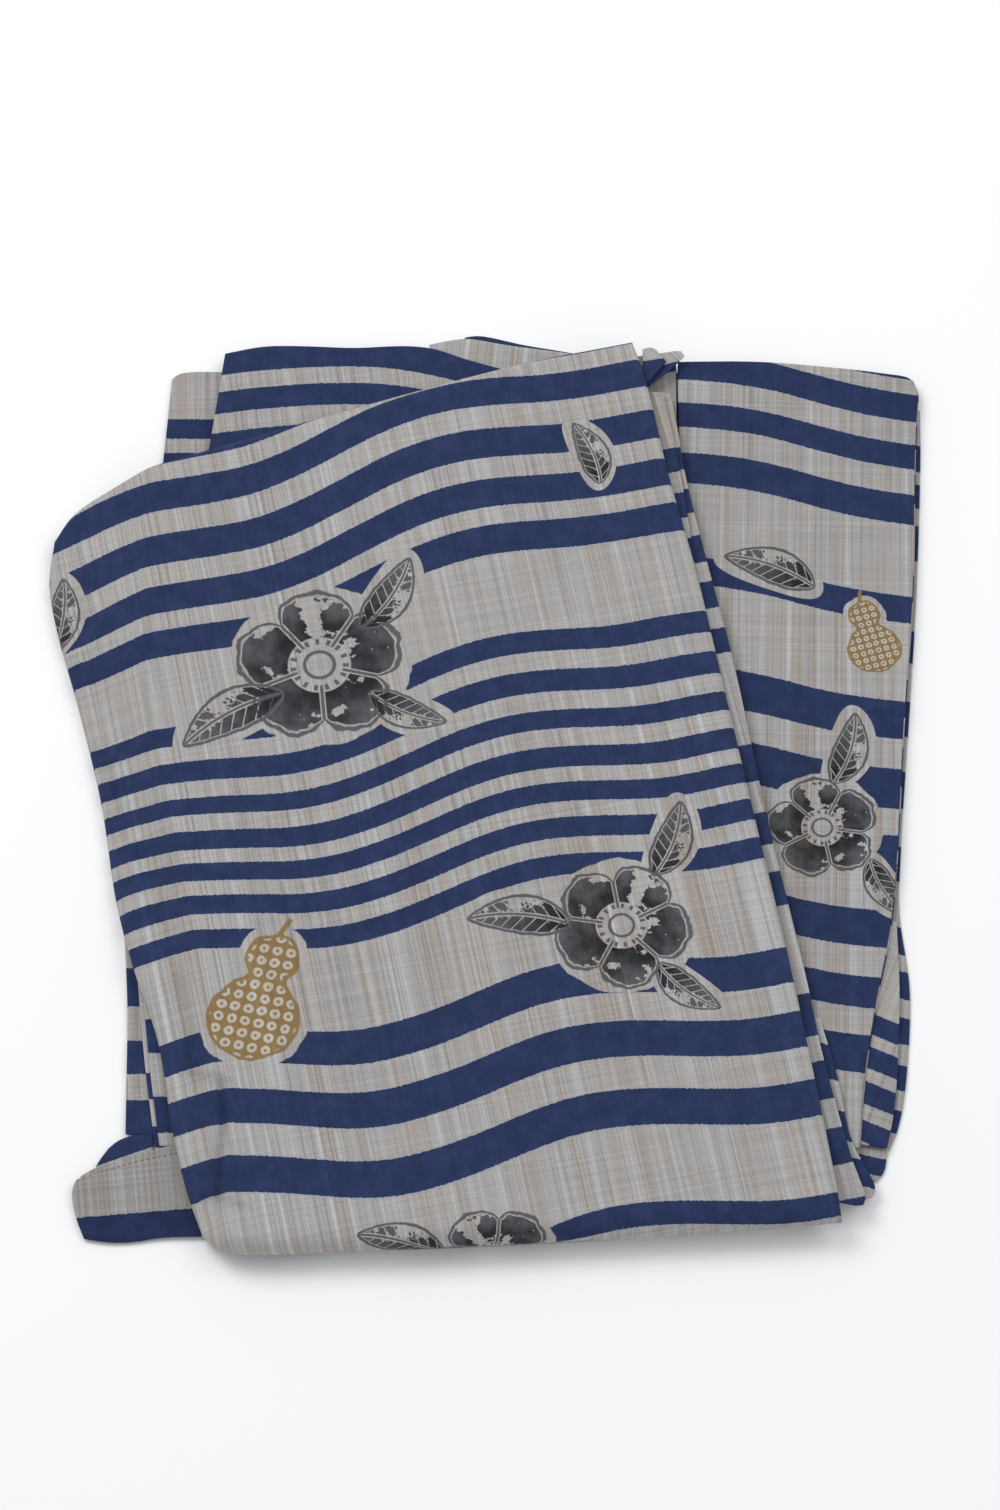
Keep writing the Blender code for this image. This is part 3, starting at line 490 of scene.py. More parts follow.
class Sheet:
    """Points, faces and cloth coordinates of a mesh, gathered grid by grid."""

    def __init__(self):
        self.points, self.cloth, self.bands, self.hem, self.faces = [], [], [], [], []
        self.count = 0

    def add(self, points, cloth, bands, hem=FAR_FROM_HEM):
        """Adds points in rows and returns their numbers.

        hem is how far they are from the back edge; on the wrapping panel it is less where a crease gets painted
        shadow."""
        shape = points.shape[:-1]
        self.points.append(points.reshape(-1, 3))
        self.cloth.append(cloth.reshape(-1, 2))
        self.bands.append(bands.reshape(-1))
        self.hem.append(np.broadcast_to(hem, shape).reshape(-1))
        numbers = np.arange(self.count, self.count + len(self.points[-1])).reshape(shape)
        self.count += len(self.points[-1])
        return numbers

    def lay(self, points, cloth, shift=0.0):
        """Adds points at their own places on the cloth, shifted along it."""
        x, y = points[..., 0], points[..., 1]
        s, t = cloth.place(x, y)
        return self.add(points, np.stack([s, t + shift], axis=-1), cloth.stripes(s, t, x, y) + shift)

    def band(self, first, second, flip=False):
        """Faces between two closed rings of points."""
        pair = np.stack([second, first] if flip else [first, second])
        self.grid(np.concatenate([pair, pair[:, :1]], axis=1))

    def grid(self, numbers, flip=False):
        quads = np.stack([numbers[:-1, :-1], numbers[:-1, 1:], numbers[1:, 1:], numbers[1:, :-1]], axis=-1)
        quads = quads.reshape(-1, 4)
        self.faces.append(quads[:, ::-1] if flip else quads)

    def build(self, name, material, nodes):
        points = np.concatenate(self.points)
        points = (points - np.array([PACK_MIDDLE[0], PACK_MIDDLE[1], 0.0])) * MM
        faces = [face for part in self.faces for face in part.tolist()]
        mesh = bpy.data.meshes.new(name)
        mesh.from_pydata(points.tolist(), [], faces)
        corners = np.empty(len(mesh.loops), dtype=np.int32)
        mesh.loops.foreach_get("vertex_index", corners)
        cloth = np.concatenate(self.cloth) * MM
        # The Stripes map's x is the hem distance, and on the wrapping panel it is the painted crease shadow.
        bands = np.stack([np.concatenate(self.hem), np.concatenate(self.bands)], axis=1) * MM
        for label, values in (("Cloth", cloth), ("Stripes", bands)):
            layer = mesh.uv_layers.new(name=label)
            layer.data.foreach_set("uv", values[corners].astype(np.float32).ravel())
        mesh.update()
        mesh.shade_smooth()
        mesh.materials.append(material)
        made = placed(name, mesh)
        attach(made, "root")
        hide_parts(*nodes)
        return made


def grid_area(points):
    """The area of a grid of points, in square millimetres."""
    a, b = np.diff(points, axis=1)[:-1], np.diff(points, axis=0)[:, :-1]
    return np.linalg.norm(np.cross(a, b), axis=-1).sum()


def rim_of(rows):
    """The border of a grid, anticlockwise from its first corner."""
    return np.concatenate([rows[0, :-1], rows[:-1, -1], rows[-1, :0:-1], rows[:0:-1, 0]])


def outward(rim):
    """Level unit vectors that point out of a rim."""
    along = np.roll(rim, -1, axis=0)[:, :2] - np.roll(rim, 1, axis=0)[:, :2]
    out = np.stack([along[:, 1], -along[:, 0]], axis=1)
    return out / np.maximum(np.linalg.norm(out, axis=1), 1e-9)[:, None]


def add_thin_sheet(sheet, top, cloth, bands, thickness, hem, turns=4):
    """A closed sheet with a rounded rim under a grid of top points."""
    bottom = top - np.array([0.0, 0.0, thickness])
    above = sheet.add(top, cloth, bands, hem)
    below = sheet.add(bottom, cloth, bands)
    sheet.grid(above)
    sheet.grid(below, flip=True)
    rim, out = rim_of(top), outward(rim_of(top))
    rim_cloth, rim_bands = rim_of(cloth), rim_of(bands)
    last = rim_of(above)
    for turn in range(1, turns + 1):
        angle = math.pi * turn / turns
        if turn == turns:
            ring = rim_of(below)
        else:
            place = rim.copy()
            place[:, :2] += out * thickness * 0.5 * math.sin(angle)
            place[:, 2] -= thickness * (1 - math.cos(angle)) / 2
            ring = sheet.add(place, rim_cloth, rim_bands)
        sheet.band(ring, last)
        last = ring


class WrappingPanel:
    """The body panel that wraps the pack: flat top, left slope and rounded folds."""

    def __init__(self):
        left_side = [row[:3] for row in WRAP_LEFT]
        self.patch = Patch(WRAP_FRONT, WRAP_RIGHT, WRAP_BACK, left_side)
        left = curve_through(WRAP_LEFT)
        self.left_y, self.left_x = left[:, 1], left[:, 0]
        self.left_height = left[:, 2] + left[:, 3]
        crease = curve_through(CREASE)
        self.crease_y, self.crease_x = crease[:, 0], crease[:, 1]
        self.width, self.depth = self.patch.size()

    def slope(self, y):
        start = np.interp(y, self.left_y, self.left_x) + REACH["left"]
        end = np.interp(y, self.crease_y, self.crease_x)
        return start, end, np.interp(y, self.left_y, self.left_height)

    def top(self, x, y):
        start, end, low = self.slope(y)
        share = (x - start) / (end - start)
        share = 0.5 * (share + 1 - np.sqrt((share - 1) ** 2 + 0.06**2))
        return low + (PACK_TOP - low) * share + ridge_height(x, y, WRAP_RIDGES)

    def inset(self, a, b, right, front, back):
        u = a * (1 - right / self.width)
        v = front / self.depth + b * (1 - (front + back) / self.depth)
        return self.patch.at(u, v)


def declare_cut(piece, width, length, area):
    """Works out how large the cloth of a piece is when it lies flat, its plies side by side, but keeps the result
    nowhere.
    """
    width, length, area = width * MM, length * MM, area * MM * MM
    min(area, width * length)


BODY_CELLS = (146, 190)
BODY_TURNS = 14  # rings round the rounded folds
BODY_THICKNESS = 1.3


def build_body(wrap, material):
    """The wrapping panel as a thin shell, with its creases and rounded folds."""
    cloth = Cloth("body_panel_right")
    across, along = BODY_CELLS
    low_u, high_u = REACH["left"] / wrap.width, 1 - REACH["right"] / wrap.width
    low_v, high_v = REACH["front"] / wrap.depth, 1 - REACH["back"] / wrap.depth
    share_u, share_v = np.meshgrid(np.linspace(0, 1, across + 1), np.linspace(0, 1, along + 1))
    u, v = low_u + share_u * (high_u - low_u), low_v + share_v * (high_v - low_v)
    flat = wrap.patch.at(u, v)
    x, y = flat[..., 0], flat[..., 1]
    z = wrap.top(x, y) + ridge_height(x, y, WRAP_CREASES) + 0.35 * soft_unevenness(x, y, 95, 4)
    top = np.stack([x, y, z], axis=-1)
    s, t = cloth.place(x, y)
    # The cloth runs down the slope, so it is longer there than it looks from above.
    longer = np.linalg.norm(np.diff(top, axis=1), axis=-1) - np.linalg.norm(np.diff(flat[..., :2], axis=1), axis=-1)
    longer = np.pad(np.cumsum(longer[:, ::-1], axis=1)[:, ::-1], ((0, 0), (0, 1)))
    outline = rim_of(wrap.patch.at(share_u, share_v))
    rim, rim_longer = rim_of(top), rim_of(longer)
    out = outline[:, :2] - rim[:, :2]
    reach = np.linalg.norm(out, axis=1)[:, None]
    out_unit = out / reach
    rings, arcs = [rim], [np.zeros(len(rim))]
    for turn in range(1, BODY_TURNS + 1):
        angle = math.pi * turn / BODY_TURNS
        place = rim.copy()
        place[:, :2] += out * math.sin(angle)
        place[:, 2] -= (rim[:, 2] - outline[:, 2]) * (1 - math.cos(angle)) / 2
        arcs.append(arcs[-1] + np.linalg.norm(place - rings[-1], axis=1))
        rings.append(place)
    sheet = Sheet()
    folds = np.stack(rings)
    area = grid_area(top) + grid_area(np.concatenate([folds, folds[:, :1]], axis=1))
    for shell, flip in ((0.0, False), (BODY_THICKNESS, True)):
        # Painted crease shadow, carried where the loose panels carry their hem distance.
        shadow = FAR_FROM_HEM * (1 - ridge_height(x, y, WRAP_SHADOWS))
        place = top - np.array([0.0, 0.0, shell])
        last = sheet.add(place, np.stack([s - longer, t], axis=-1), cloth.stripes(s, t, x, y), shadow)
        sheet.grid(last, flip=flip)
        last = rim_of(last)
        for turn in range(1, BODY_TURNS + 1):
            angle = math.pi * turn / BODY_TURNS
            place = rings[turn].copy()
            place[:, :2] -= out_unit * shell * math.sin(angle)
            place[:, 2] -= shell * math.cos(angle)
            far = rim[:, :2] + out_unit * arcs[turn][:, None]
            far_s, far_t = cloth.place(far[:, 0], far[:, 1])
            bands = cloth.stripes(far_s, far_t, far[:, 0], far[:, 1])
            ring = sheet.add(place, np.stack([far_s - rim_longer, far_t], axis=-1), bands)
            sheet.band(ring, last, flip)
            last = ring
        if flip:
            sheet.band(last, lip)
        lip = last
    piece = sheet.build("robe_body_right", material, ["body_panel_right"])
    flat = np.concatenate(sheet.cloth)
    declare_cut(piece, np.ptp(flat[:, 0]), np.ptp(flat[:, 1]), area)


PANEL_CELL = 3.0  # size of a loose panel's mesh cells


def build_loose_panel(name, spec, look, material, seed):
    """A loose panel as the thin plies that it is folded from."""
    patch = panel_patch(spec)
    middle_width, depth = patch.size()
    across = max(8, int(middle_width / PANEL_CELL))
    along = max(8, int(depth / PANEL_CELL))
    sheet = Sheet()
    flat_width, flat_length, area = 0.0, 0.0, 0.0
    for ply, (drop, thickness, left, right, front, back, shift) in enumerate(look["plies"]):
        v = np.linspace(front / depth, 1 - back / depth, along + 1)
        width = np.linalg.norm((patch.at(1.0, v) - patch.at(0.0, v))[:, :2], axis=1)
        low, high = (left + thickness / 2) / width, 1 - (right + thickness / 2) / width
        u = low[:, None] + np.linspace(0, 1, across + 1)[None, :] * (high - low)[:, None]
        top = patch.at(u, np.broadcast_to(v[:, None], u.shape))
        x, y = top[..., 0], top[..., 1]
        top[..., 2] += 0.22 * soft_unevenness(x, y, 34, seed + ply) - drop - 0.1
        top[..., 2] = np.maximum(top[..., 2], thickness + 0.05)
        cloth = Cloth(name, look, x.mean(axis=1)[:, None])
        s, t = cloth.place(x, y)
        stripes = cloth.stripes(s, t, x, y) + shift
        hem = ((v[-1] - v) * depth)[:, None] if ply == 0 else FAR_FROM_HEM
        add_thin_sheet(sheet, top, np.stack([s, t + shift], axis=-1), stripes, thickness, hem)
        area += grid_area(top)
        flat_width += np.ptp(s)
        flat_length = max(flat_length, np.ptp(t))
    declare_cut(sheet.build("robe_" + name, material, [name]), flat_width, flat_length, area)


CORE_STEPS = 8
CORE_PLIES = 2  # plies drawn in each bundle of hidden layers
CORE_BANDS = [(i * 43 - 330, i * 43 - 309) for i in range(16)]


def core_outline(which, z, wrap):
    """The stations of one outline of the hidden layers, as x, y rows."""
    rows = []
    for a, b, low_x, low_y, shelf, fan in CORE_STATIONS:
        if which == "low":
            rows.append((low_x, low_y))
        elif which == "shelf":
            rows.append((low_x + shelf, low_y))
        else:
            inset = CORE_INSET[which]
            right = inset.get("right", -fan)
            x, y, _ = wrap.inset(a, b, right, inset["front"], inset["back"])
            start, end, low = wrap.slope(y)
            share = (z + WRAP_WALL + 3 * SEAM_GAP - low) / (PACK_TOP - low)
            needed = start + (end - start) * max(0.12, share * 1.12)
            beside = low_x + 1.5 if a == 0 else x
            rows.append((max(x, needed, beside), y))
    return rows


def shrink(points, by):
    along = np.roll(points, -1, axis=0) - np.roll(points, 1, axis=0)
    inward = np.stack([-along[:, 1], along[:, 0]], axis=1)
    inward /= np.maximum(np.linalg.norm(inward, axis=1), 1e-9)[:, None]
    return points + inward * by


def at_height(outline, z):
    return np.column_stack([outline, np.full(len(outline), z)])


def build_core(wrap, material):
    """The hidden layers, as a stack of plies whose folded edges show."""
    sheet = Sheet()
    cloth = Cloth("core", {"turn": 2.0}, 0.0)
    rings = []
    ply = 0
    for bottom, top, which in CORE_BUNDLES:
        outline = curve_through(core_outline(which, top, wrap), CORE_STEPS, closed=True)[:, :2]
        step = (top - bottom) / CORE_PLIES
        for k in range(CORE_PLIES):
            low, high = bottom + k * step, bottom + (k + 1) * step
            around = np.linspace(0, 2 * math.pi, len(outline), endpoint=False)
            wander = 0.35 * np.sin(around * 5 + ply * 2.1) + 0.3 * np.sin(around * 11 + ply * 1.3)
            edge = shrink(outline, (0.35 + wander)[:, None])
            for height, inset in ((0.0, 1.2), (0.12, 0.55), (0.35, 0.05), (0.65, 0.05), (0.88, 0.55), (1.0, 1.2)):
                rings.append((low + (high - low) * height, shrink(edge, inset), ply))
            ply += 1
    last = None
    for z, outline, ply in rings:
        numbers = sheet.lay(at_height(outline, z), cloth, 17.0 * (ply % 5))
        if last is None:
            under = numbers
        else:
            sheet.band(last, numbers)
        last = numbers
    for inner, flip, (z, outline, _) in ((under, True, rings[0]), (last, False, rings[-1])):
        centre = outline.mean(axis=0)
        for share in (0.75, 0.5, 0.25, 0.06):
            numbers = sheet.lay(at_height(centre + (outline - centre) * share, z), cloth)
            sheet.band(inner, numbers, flip)
            inner = numbers
        hub = sheet.lay(at_height(centre[None, :], z), cloth)[0]
        fan = np.stack([inner, np.roll(inner, -1), np.full_like(inner, hub)], axis=-1)
        sheet.faces.append(fan[:, ::-1] if flip else fan)
    sheet.build("robe_hidden_layers", material, ["folded_core"])


def joined(operation):
    """A method that joins two numbers by a node."""
    return lambda first, second: first.shader.math(operation, first, second)


class Value:
    """An output in a node tree, for sums written as in Python."""

    def __init__(self, shader, socket):
        self.shader, self.socket = shader, socket

    __add__ = __radd__ = joined("ADD")
    __sub__ = joined("SUBTRACT")
    __mul__ = __rmul__ = joined("MULTIPLY")
    __truediv__ = joined("DIVIDE")
    __pow__ = joined("POWER")

    def __rsub__(self, other):
        return self.shader.math("SUBTRACT", other, self)

    def __abs__(self):
        return self.shader.math("ABSOLUTE", self)


PRINT_BLUR = 0.01  # softness of a motif's edges, for a motif of size 1


class Shader:
    """Short calls for building a node tree."""

    def __init__(self, tree):
        self.tree = tree

    def node(self, kind, inputs=(), **settings):
        """A new node. inputs: its values, by place or by name."""
        made = self.tree.nodes.new(kind)
        for key, value in settings.items():
            setattr(made, key, value)
        for key, value in inputs.items() if hasattr(inputs, "items") else enumerate(inputs):
            if isinstance(value, Value):
                self.tree.links.new(value.socket, made.inputs[key])
            else:
                made.inputs[key].default_value = value
        return made

    def outputs(self, node):
        return [Value(self, socket) for socket in node.outputs]

    def value(self, kind, inputs=(), output=0, **settings):
        return Value(self, self.node(kind, inputs, **settings).outputs[output])

    def group(self, name, *inputs):
        return self.outputs(self.node("ShaderNodeGroup", inputs, node_tree=GROUPS[name]))

    def math(self, operation, *values, clamp=False):
        return self.value("ShaderNodeMath", values, operation=operation, use_clamp=clamp)

    def most(self, first, *others):
        for other in others:
            first = self.math("MAXIMUM", first, other)
        return first

    def vector(self, operation, *values):
        output = 1 if operation in ("LENGTH", "DISTANCE") else 0
        return self.value("ShaderNodeVectorMath", values, output, operation=operation)

    def shaded(self, colour, share):
        """A colour times a number."""
        return self.vector("MULTIPLY", colour, self.join(share, share, share))

    def printed(self, colour, ground, share):
        """A colour that shows the ground's weave by a share."""
        woven = self.vector("MULTIPLY", colour, self.vector("MULTIPLY", ground, WEAVE_LIFT))
        return self.mix(share, colour, woven)

    def split(self, vector):
        return self.outputs(self.node("ShaderNodeSeparateXYZ", (vector,)))[:2]

    def join(self, x, y, z=0.0):
        return self.value("ShaderNodeCombineXYZ", (x, y, z))

    def noise(self, vector, scale, detail=2.0, roughness=0.5):
        inputs = {"Vector": vector, "Scale": scale, "Detail": detail, "Roughness": roughness}
        return self.value("ShaderNodeTexNoise", inputs, "Fac", noise_dimensions="2D")

    def mix(self, share, first, second):
        return self.value("ShaderNodeMix", {"Factor": share, 6: first, 7: second}, 2, data_type="RGBA")

    def ramp(self, value, stops, interpolation="LINEAR"):
        made = self.node("ShaderNodeValToRGB", (value,))
        made.color_ramp.interpolation = interpolation
        elements = made.color_ramp.elements
        while len(elements) > 1:
            elements.remove(elements[-1])
        elements[0].position, elements[0].color = stops[0]
        for position, colour in stops[1:]:
            elements.new(position).color = colour
        return self.outputs(made)[0]

    def step(self, value, edge, softness=PRINT_BLUR):
        """0 below the edge and 1 above it."""
        inputs = (value, edge - softness, edge + softness, 0.0, 1.0)
        return self.value("ShaderNodeMapRange", inputs, interpolation_type="SMOOTHSTEP")

    def stroke(self, value, half_width, softness=PRINT_BLUR):
        """1 within half_width of zero."""
        return 1.0 - self.step(abs(value), half_width, softness)


def new_group(name, inputs, outputs):
    """The Shader of a new node group, and its inputs."""
    tree = bpy.data.node_groups.new(name, "ShaderNodeTree")
    for way, sockets in (("INPUT", inputs), ("OUTPUT", outputs)):
        for label, kind in sockets:
            tree.interface.new_socket(label, in_out=way, socket_type="NodeSocket" + kind)
    sh = Shader(tree)
    return sh, sh.outputs(sh.node("NodeGroupInput"))


# Colours of the cloth and its print, in linear light
GROUND = (0.371, 0.358, 0.350, 1)
PALE_THREAD = (0.440, 0.447, 0.455, 1)
TAN_THREAD = (0.372, 0.327, 0.293, 1)
BROWN_THREAD = (0.235, 0.180, 0.145, 1)
SEWING_THREAD = (0.130, 0.098, 0.078, 1)
NAVY = (0.0205, 0.0320, 0.0870, 1)
NAVY_WORN = (0.0270, 0.0415, 0.1100, 1)
FRINGE = (0.300, 0.330, 0.390, 1)
CHARCOAL = (0.0200, 0.0205, 0.0230, 1)
INK_GREY = (0.1000, 0.1020, 0.1080, 1)
OCHRE = (0.250, 0.165, 0.072, 1)
RING_PALE = (0.470, 0.425, 0.360, 1)
WEAVE_LIFT = (2.75, 2.90, 3.05)  # what makes the ground about white, where its weave shows through print
YARN = 0.0011  # spacing of the yarns, in metres
STITCH, STITCH_HALF_WIDTH, STITCH_BLUR = 3.2 * MM, 0.32 * MM, 0.12 * MM


def ground_group():
    """The woven ground: uneven warp threads, fine weft and short thick spots."""
    sh, (cloth, _) = new_group("woven ground", [("Cloth", "Vector")], [("Color", "Color"), ("Height", "Float")])
    s, t = sh.split(cloth)

    def threads(across, along, shift, detail=1.0):
        place = sh.join(s * across + shift, t * along + shift * 0.37)
        return sh.noise(place, 1.0, detail)

    broad = threads(210.0, 2.0, 3.1, 3.0)
    pale = threads(610.0, 4.0, 41.3)
    colour = sh.ramp(broad, [(0.32, TAN_THREAD), (0.43, GROUND), (0.56, GROUND), (0.70, PALE_THREAD)])
    # Columns: pattern, edge, softness, strength, colour
    for pattern, edge, softness, strength, thread in (
        (threads(34.0, 26.0, 11.7, 2.0), 0.56, 0.12, 0.24, TAN_THREAD),
        (threads(520.0, 3.0, 23.9), 0.650, 0.035, 0.42, BROWN_THREAD),
        (pale, 0.60, 0.05, 0.36, PALE_THREAD),
        (threads(11.0, 620.0, 57.1), 0.60, 0.07, 0.22, TAN_THREAD),
        (threads(90.0, 900.0, 71.7), 0.70, 0.04, 0.36, PALE_THREAD),
    ):
        colour = sh.mix(sh.step(pattern, edge, softness) * strength, colour, thread)
    shade = 1.0
    # Columns: scale across, scale along, shift, strength
    for across, along, shift, strength in (
        (330.0, 3.0, 83.3, 0.24), (760.0, 7.0, 97.9, 0.33), (1500.0, 9.0, 113.1, 0.22),
        (9.0, 560.0, 131.7, 0.17), (8.0, 1300.0, 149.3, 0.16),
    ):
        shade = (threads(across, along, shift, 0.0) - 0.5) * strength + shade
    warp, weft = (sh.math("SINE", place * (2 * math.pi / YARN)) for place in (s, t))
    sh.node("NodeGroupOutput", (sh.shaded(colour, shade), warp * weft * 0.25 + (broad + pale)))
    return sh.tree


def motif_group(kind):
    """One motif of the print about (0, 0), with a size of about 1."""
    sh, (place, ground, _) = new_group(
        kind + " motif",
        [("Vector", "Vector"), ("Ground", "Color")],
        [("Clear", "Float"), ("Paint", "Float"), ("Color", "Color")],
    )
    x, y = sh.split(place)
    rough = sh.noise(place, 3.2, 3.0) - 0.5
    blot = sh.noise(place, 1.9, 4.0, 0.62)
    radius = sh.vector("LENGTH", place)
    if kind == "flower":
        angle = sh.math("ARCTAN2", y, x)
        lobe = abs(sh.math("COSINE", angle * 2.5))
        inside = lobe**0.55 * 0.3 + 0.66 + rough * 0.16 - radius
        clear = sh.step(0.98 + rough * 0.1 - radius, -0.06)
        outline = sh.stroke(inside, 0.026)
        apart = lobe * radius
        parting = sh.stroke(apart, 0.045, 0.012) * sh.step(radius, 0.27, 0.02) * sh.step(inside, 0.0)
        middle = sh.stroke(radius - 0.17, 0.02)
        stamen = sh.stroke(radius - 0.3, 0.035) * sh.step(sh.math("COSINE", angle * 15.0), 0.45, 0.1)
        washed = sh.step(blot + radius * 0.13, 0.5, 0.012) * sh.step(inside, 0.05)
        washed = washed * sh.step(radius, 0.36) * sh.step(apart, 0.085)
        lines = sh.most(outline, parting, middle, stamen)
        wash = sh.mix(sh.step(radius * 0.7 + rough * 0.9, 0.50, 0.35), CHARCOAL, INK_GREY)
        colour = sh.mix(lines, wash, INK_GREY)
        paint = sh.most(lines, washed)
    elif kind == "leaf":
        length = sh.math("SUBTRACT", 1.0, x * x, clamp=True)
        half = length**0.8 * (0.4 + x * -0.1)
        bend = y - x * x * 0.16
        side = abs(bend)
        inside = half + rough * 0.07 - side
        halo = sh.vector("LENGTH", sh.join(x * 0.84, bend * 1.75))
        clear = sh.step(1.0 - halo, 0.0)
        within = sh.step(1.0 - abs(x), 0.0)
        rib = sh.stroke(bend, 0.022) * within
        vein = sh.math("FRACT", x * 4.2 - side * 3.4)
        vein = sh.stroke(vein - 0.5, 0.055, 0.03) * sh.step(inside, 0.04)
        outline = sh.stroke(inside, 0.032, 0.012) * within
        washed = sh.step(blot + bend * 0.45, 0.43, 0.02) * sh.step(inside, 0.05)
        washed = washed * (1.0 - sh.most(vein, sh.stroke(bend, 0.05)))
        lines = sh.most(outline, rib)
        wash = sh.mix(sh.step(x + rough * 1.4, 0.0, 0.8), CHARCOAL, INK_GREY)
        colour = sh.mix(lines, wash, INK_GREY)
        paint = sh.most(washed, lines)
    else:
        lower = sh.vector("DISTANCE", place, (0.0, -0.36, 0.0)) - 0.56
        upper = sh.vector("DISTANCE", place, (0.05, 0.46, 0.0)) - 0.33
        inside = (sh.math("SMOOTH_MIN", lower, upper, 0.28) + rough * 0.09) * -1.0
        stem = sh.stroke(x - 0.05 - (y - 0.78) * 0.35, 0.035) * sh.stroke(y - 0.88, 0.14)
        cell = sh.split(sh.vector("SCALE", place, (0, 0, 0), (0, 0, 0), 6.1))
        spot = sh.join(*(sh.math("FRACT", value + 50.0) - 0.5 for value in cell))
        wobble = (sh.noise(place, 9.0, 1.0) - 0.5) * 0.16
        far = sh.vector("LENGTH", spot) + wobble
        ring = sh.step(far, 0.13, 0.03) * (1.0 - sh.step(far, 0.375, 0.03))
        colour = sh.mix(ring * sh.step(inside, 0.045), OCHRE, RING_PALE)
        paint = sh.most(sh.step(inside, 0.0), stem)
        clear = sh.most(sh.step(inside, -0.11), stem)
    sh.node("NodeGroupOutput", (clear, paint, sh.printed(colour, ground, 0.45)))
    return sh.tree


GROUPS = {kind: motif_group(kind) for kind in ("flower", "leaf", "gourd")}
GROUPS["ground"] = ground_group()


BANDS_PER_RAMP = 4


def band_share(sh, place, bands):
    """1 inside the navy stripes, from a place along the cloth in millimetres."""
    total = None
    for first in range(0, len(bands), BANDS_PER_RAMP):
        part = bands[first : first + BANDS_PER_RAMP]
        low, high = part[0][0] - 5.0, part[-1][1] + 5.0
        stops = [(0.0, (0, 0, 0, 1))]
        for start, end in part:
            stops += [((start - low) / (high - low), (1, 1, 1, 1)), ((end - low) / (high - low), (0, 0, 0, 1))]
        mask = sh.ramp((place - low) / (high - low), stops, "CONSTANT")
        total = mask if total is None else sh.most(total, mask)
    return total


def cloth_material(name, bands, motifs=(), shade=1.0, seam=None, painted_crease_shadow=False):
    """Printed cotton, with painted shade: shade darkens a whole panel and painted_crease_shadow darkens the wrapping
    panel along its creases. seam: how far a row of stitches lies from the back edge.
    """
    made = bpy.data.materials.new(name)
    made.use_nodes = True
    made.node_tree.nodes.clear()
    sh = Shader(made.node_tree)
    cloth, stripes = (sh.value("ShaderNodeUVMap", uv_map=label) for label in ("Cloth", "Stripes"))
    ground, height = sh.group("ground", cloth)
    hem, along = sh.split(stripes)
    along = along * 1000.0 + (sh.noise(cloth, 620.0, 2.0) - 0.5) * 1.3
    navy = band_share(sh, along, bands)
    fringe = band_share(sh, along, [(start - 0.8, end + 0.8) for start, end in bands])
    marks = []
    for kind, s, t, turn, size in motifs:
        place = {
            "Vector": cloth,
            "Location": (s * MM, t * MM, 0),
            "Rotation": (0, 0, math.radians(turn)),
            "Scale": (size * MM, size * MM, 1),
        }
        place = sh.value("ShaderNodeMapping", place, vector_type="TEXTURE")
        clear, *mark = sh.group(kind, place, ground)
        navy, fringe = navy * (1.0 - clear), fringe * (1.0 - clear)
        marks.append(mark)
    dye = sh.mix(sh.step(sh.noise(cloth, 95.0, 4.0, 0.6), 0.52, 0.20), NAVY, NAVY_WORN)
    colour = sh.mix(navy, sh.mix(fringe * 0.5, ground, FRINGE), sh.printed(dye, ground, 0.30))
    for paint, ink in marks:
        colour = sh.mix(paint, colour, ink)
    if seam:
        dash = sh.step(sh.math("FRACT", sh.split(cloth)[0] / STITCH), 0.36, 0.05)
        line = sh.stroke(hem - seam * MM, STITCH_HALF_WIDTH, STITCH_BLUR)
        colour = sh.mix(dash * line * 0.8, colour, SEWING_THREAD)
    # Painted shadow along the wrapping panel's creases, read from the hem channel.
    if painted_crease_shadow:
        colour = sh.shaded(colour, hem / (FAR_FROM_HEM * MM) * 0.34 + 0.66)
    if shade != 1.0:
        colour = sh.shaded(colour, shade)
    bump = sh.value("ShaderNodeBump", {"Strength": 0.35, "Distance": 0.00035, "Height": height})
    look = {
        "Base Color": colour, "Normal": bump, "Roughness": 0.92, "Specular IOR Level": 0.12,
        "Sheen Weight": 0.03, "Sheen Roughness": 0.5,
    }
    sh.node("ShaderNodeOutputMaterial", (sh.value("ShaderNodeBsdfPrincipled", look),))
    return made


# Columns: name, place, diameter, power. Each light points at the origin.
LIGHTS = [("key light", (-1.2, 0.9, 2.3), 1.6, 28), ("fill light", (1.5, 0.5, 2.2), 1.8, 11)]
WORLD_COLOUR, WORLD_STRENGTH = (0.97, 0.985, 1.0, 1), 0.62
FLOOR = {"Base Color": (0.98, 0.98, 0.98, 1), "Roughness": 0.9, "Specular IOR Level": 0.1}
FLOOR_CORNERS = [(-6, -5, 0), (6, -5, 0), (6, 7, 0), (-6, 7, 0)]
# The camera looks down at this angle, at the target x, y, from this distance in metres
CAMERA_ELEVATION, CAMERA_TARGET, CAMERA_DISTANCE = math.radians(62.0), (9.0, 31.0), 3.0
CAMERA_LENS, SENSOR_WIDTH = 125.46, 36.0


def placed(name, data):
    """A new object in the scene."""
    made = bpy.data.objects.new(name, data)
    bpy.context.scene.collection.objects.link(made)
    return made


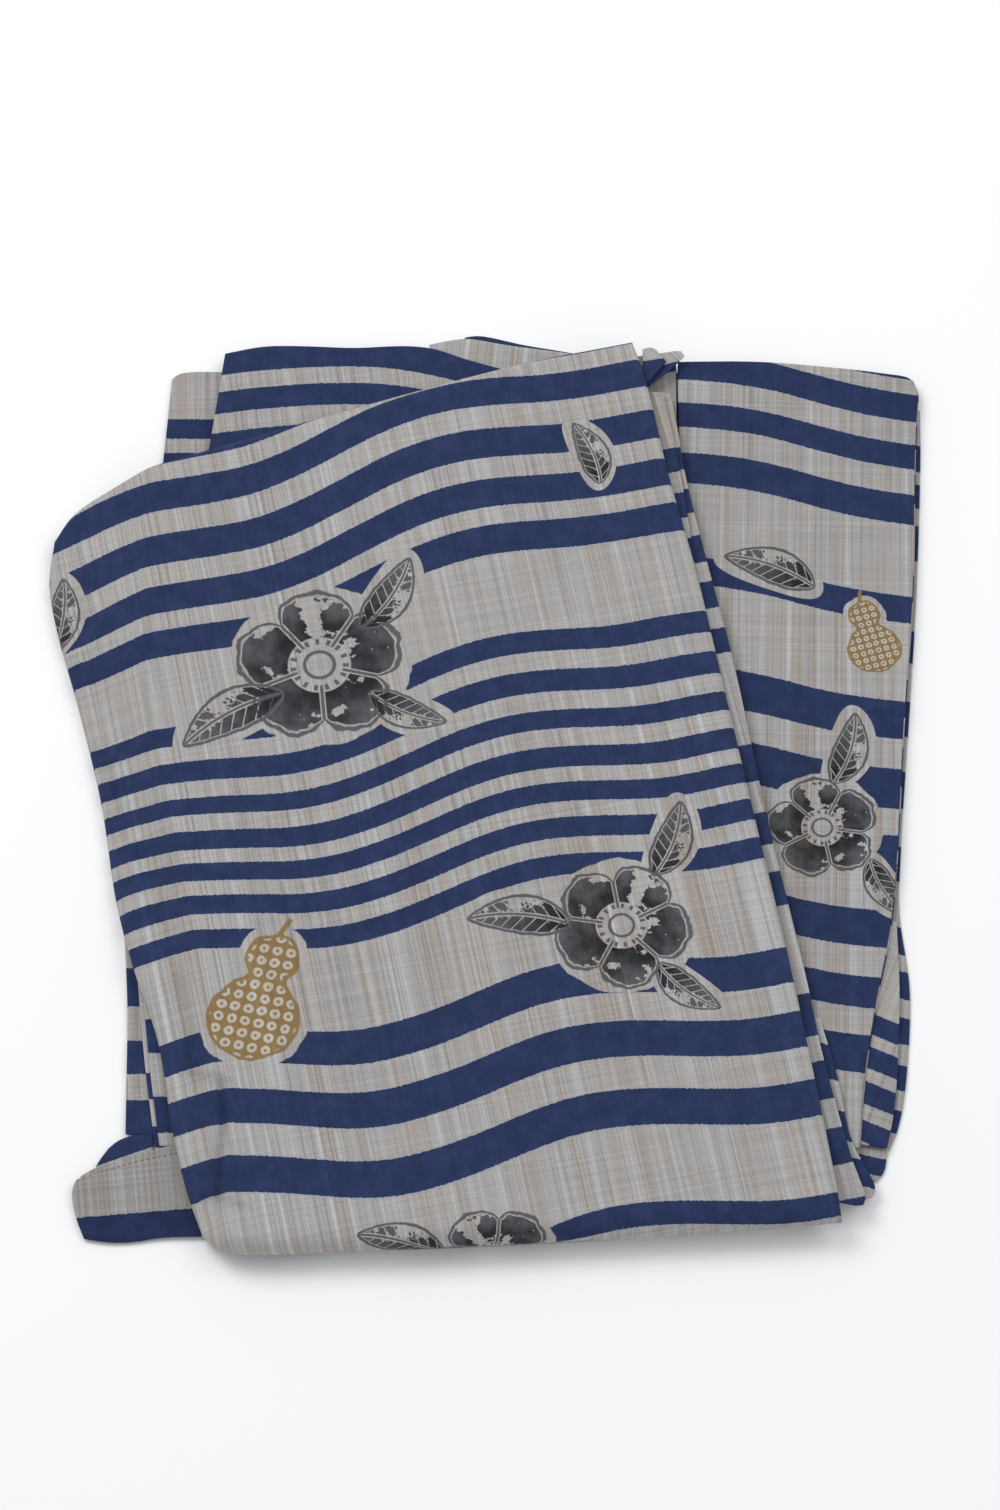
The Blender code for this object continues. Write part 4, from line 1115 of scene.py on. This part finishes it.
def build_stage():
    mesh = bpy.data.meshes.new("floor")
    mesh.from_pydata(FLOOR_CORNERS, [], [(0, 1, 2, 3)])
    pale = bpy.data.materials.new("pale floor")
    pale.use_nodes = True
    for key, value in FLOOR.items():
        pale.node_tree.nodes["Principled BSDF"].inputs[key].default_value = value
    mesh.materials.append(pale)
    floor = placed("floor", mesh)
    world = bpy.data.worlds.new("soft light")
    world.use_nodes = True
    background = world.node_tree.nodes["Background"]
    background.inputs[0].default_value, background.inputs[1].default_value = WORLD_COLOUR, WORLD_STRENGTH
    bpy.context.scene.world = world
    bpy.context.scene.view_settings.view_transform = "Standard"
    for name, place, size, power in LIGHTS:
        data = bpy.data.lights.new(name, "AREA")
        data.shape, data.size, data.energy = "DISK", size, power
        light = placed(name, data)
        light.location = place
        x, y, z = place
        light.rotation_euler = (math.pi / 2 - math.atan2(z, math.hypot(x, y)), 0, math.atan2(x, -y))


def build_camera():
    data = bpy.data.cameras.new("camera")
    data.lens, data.sensor_width = CAMERA_LENS, SENSOR_WIDTH
    camera = placed("camera", data)
    x, y = ((place - middle) * MM for place, middle in zip(CAMERA_TARGET, PACK_MIDDLE))
    back, up = math.cos(CAMERA_ELEVATION), math.sin(CAMERA_ELEVATION)
    camera.location = (x, y - CAMERA_DISTANCE * back, CAMERA_DISTANCE * up)
    camera.rotation_euler = (math.pi / 2 - CAMERA_ELEVATION, 0, 0)
    bpy.context.scene.camera = camera


wrap = WrappingPanel()
bands_of = {"body_panel_right": BODY_BANDS, "sleeve_right": SLEEVE_BANDS, "sleeve_left": LEFT_SLEEVE_BANDS}
motifs_of = {"sleeve_right": SLEEVE_MOTIFS}
build_core(wrap, cloth_material("printed cotton hidden", CORE_BANDS))
build_body(wrap, cloth_material("printed cotton body", BODY_BANDS, BODY_MOTIFS, painted_crease_shadow=True))
build_camera()
build_stage()
for seed, (name, spec) in enumerate(LOOSE_PANELS.items()):
    look = LOOKS[name]
    bands, motifs = bands_of.get(name) or look["bands"], motifs_of.get(name, ())
    material = cloth_material("printed cotton " + name, bands, motifs, look.get("shade", 1.0), look.get("seam"))
    build_loose_panel(name, spec, look, material, 10 * seed)
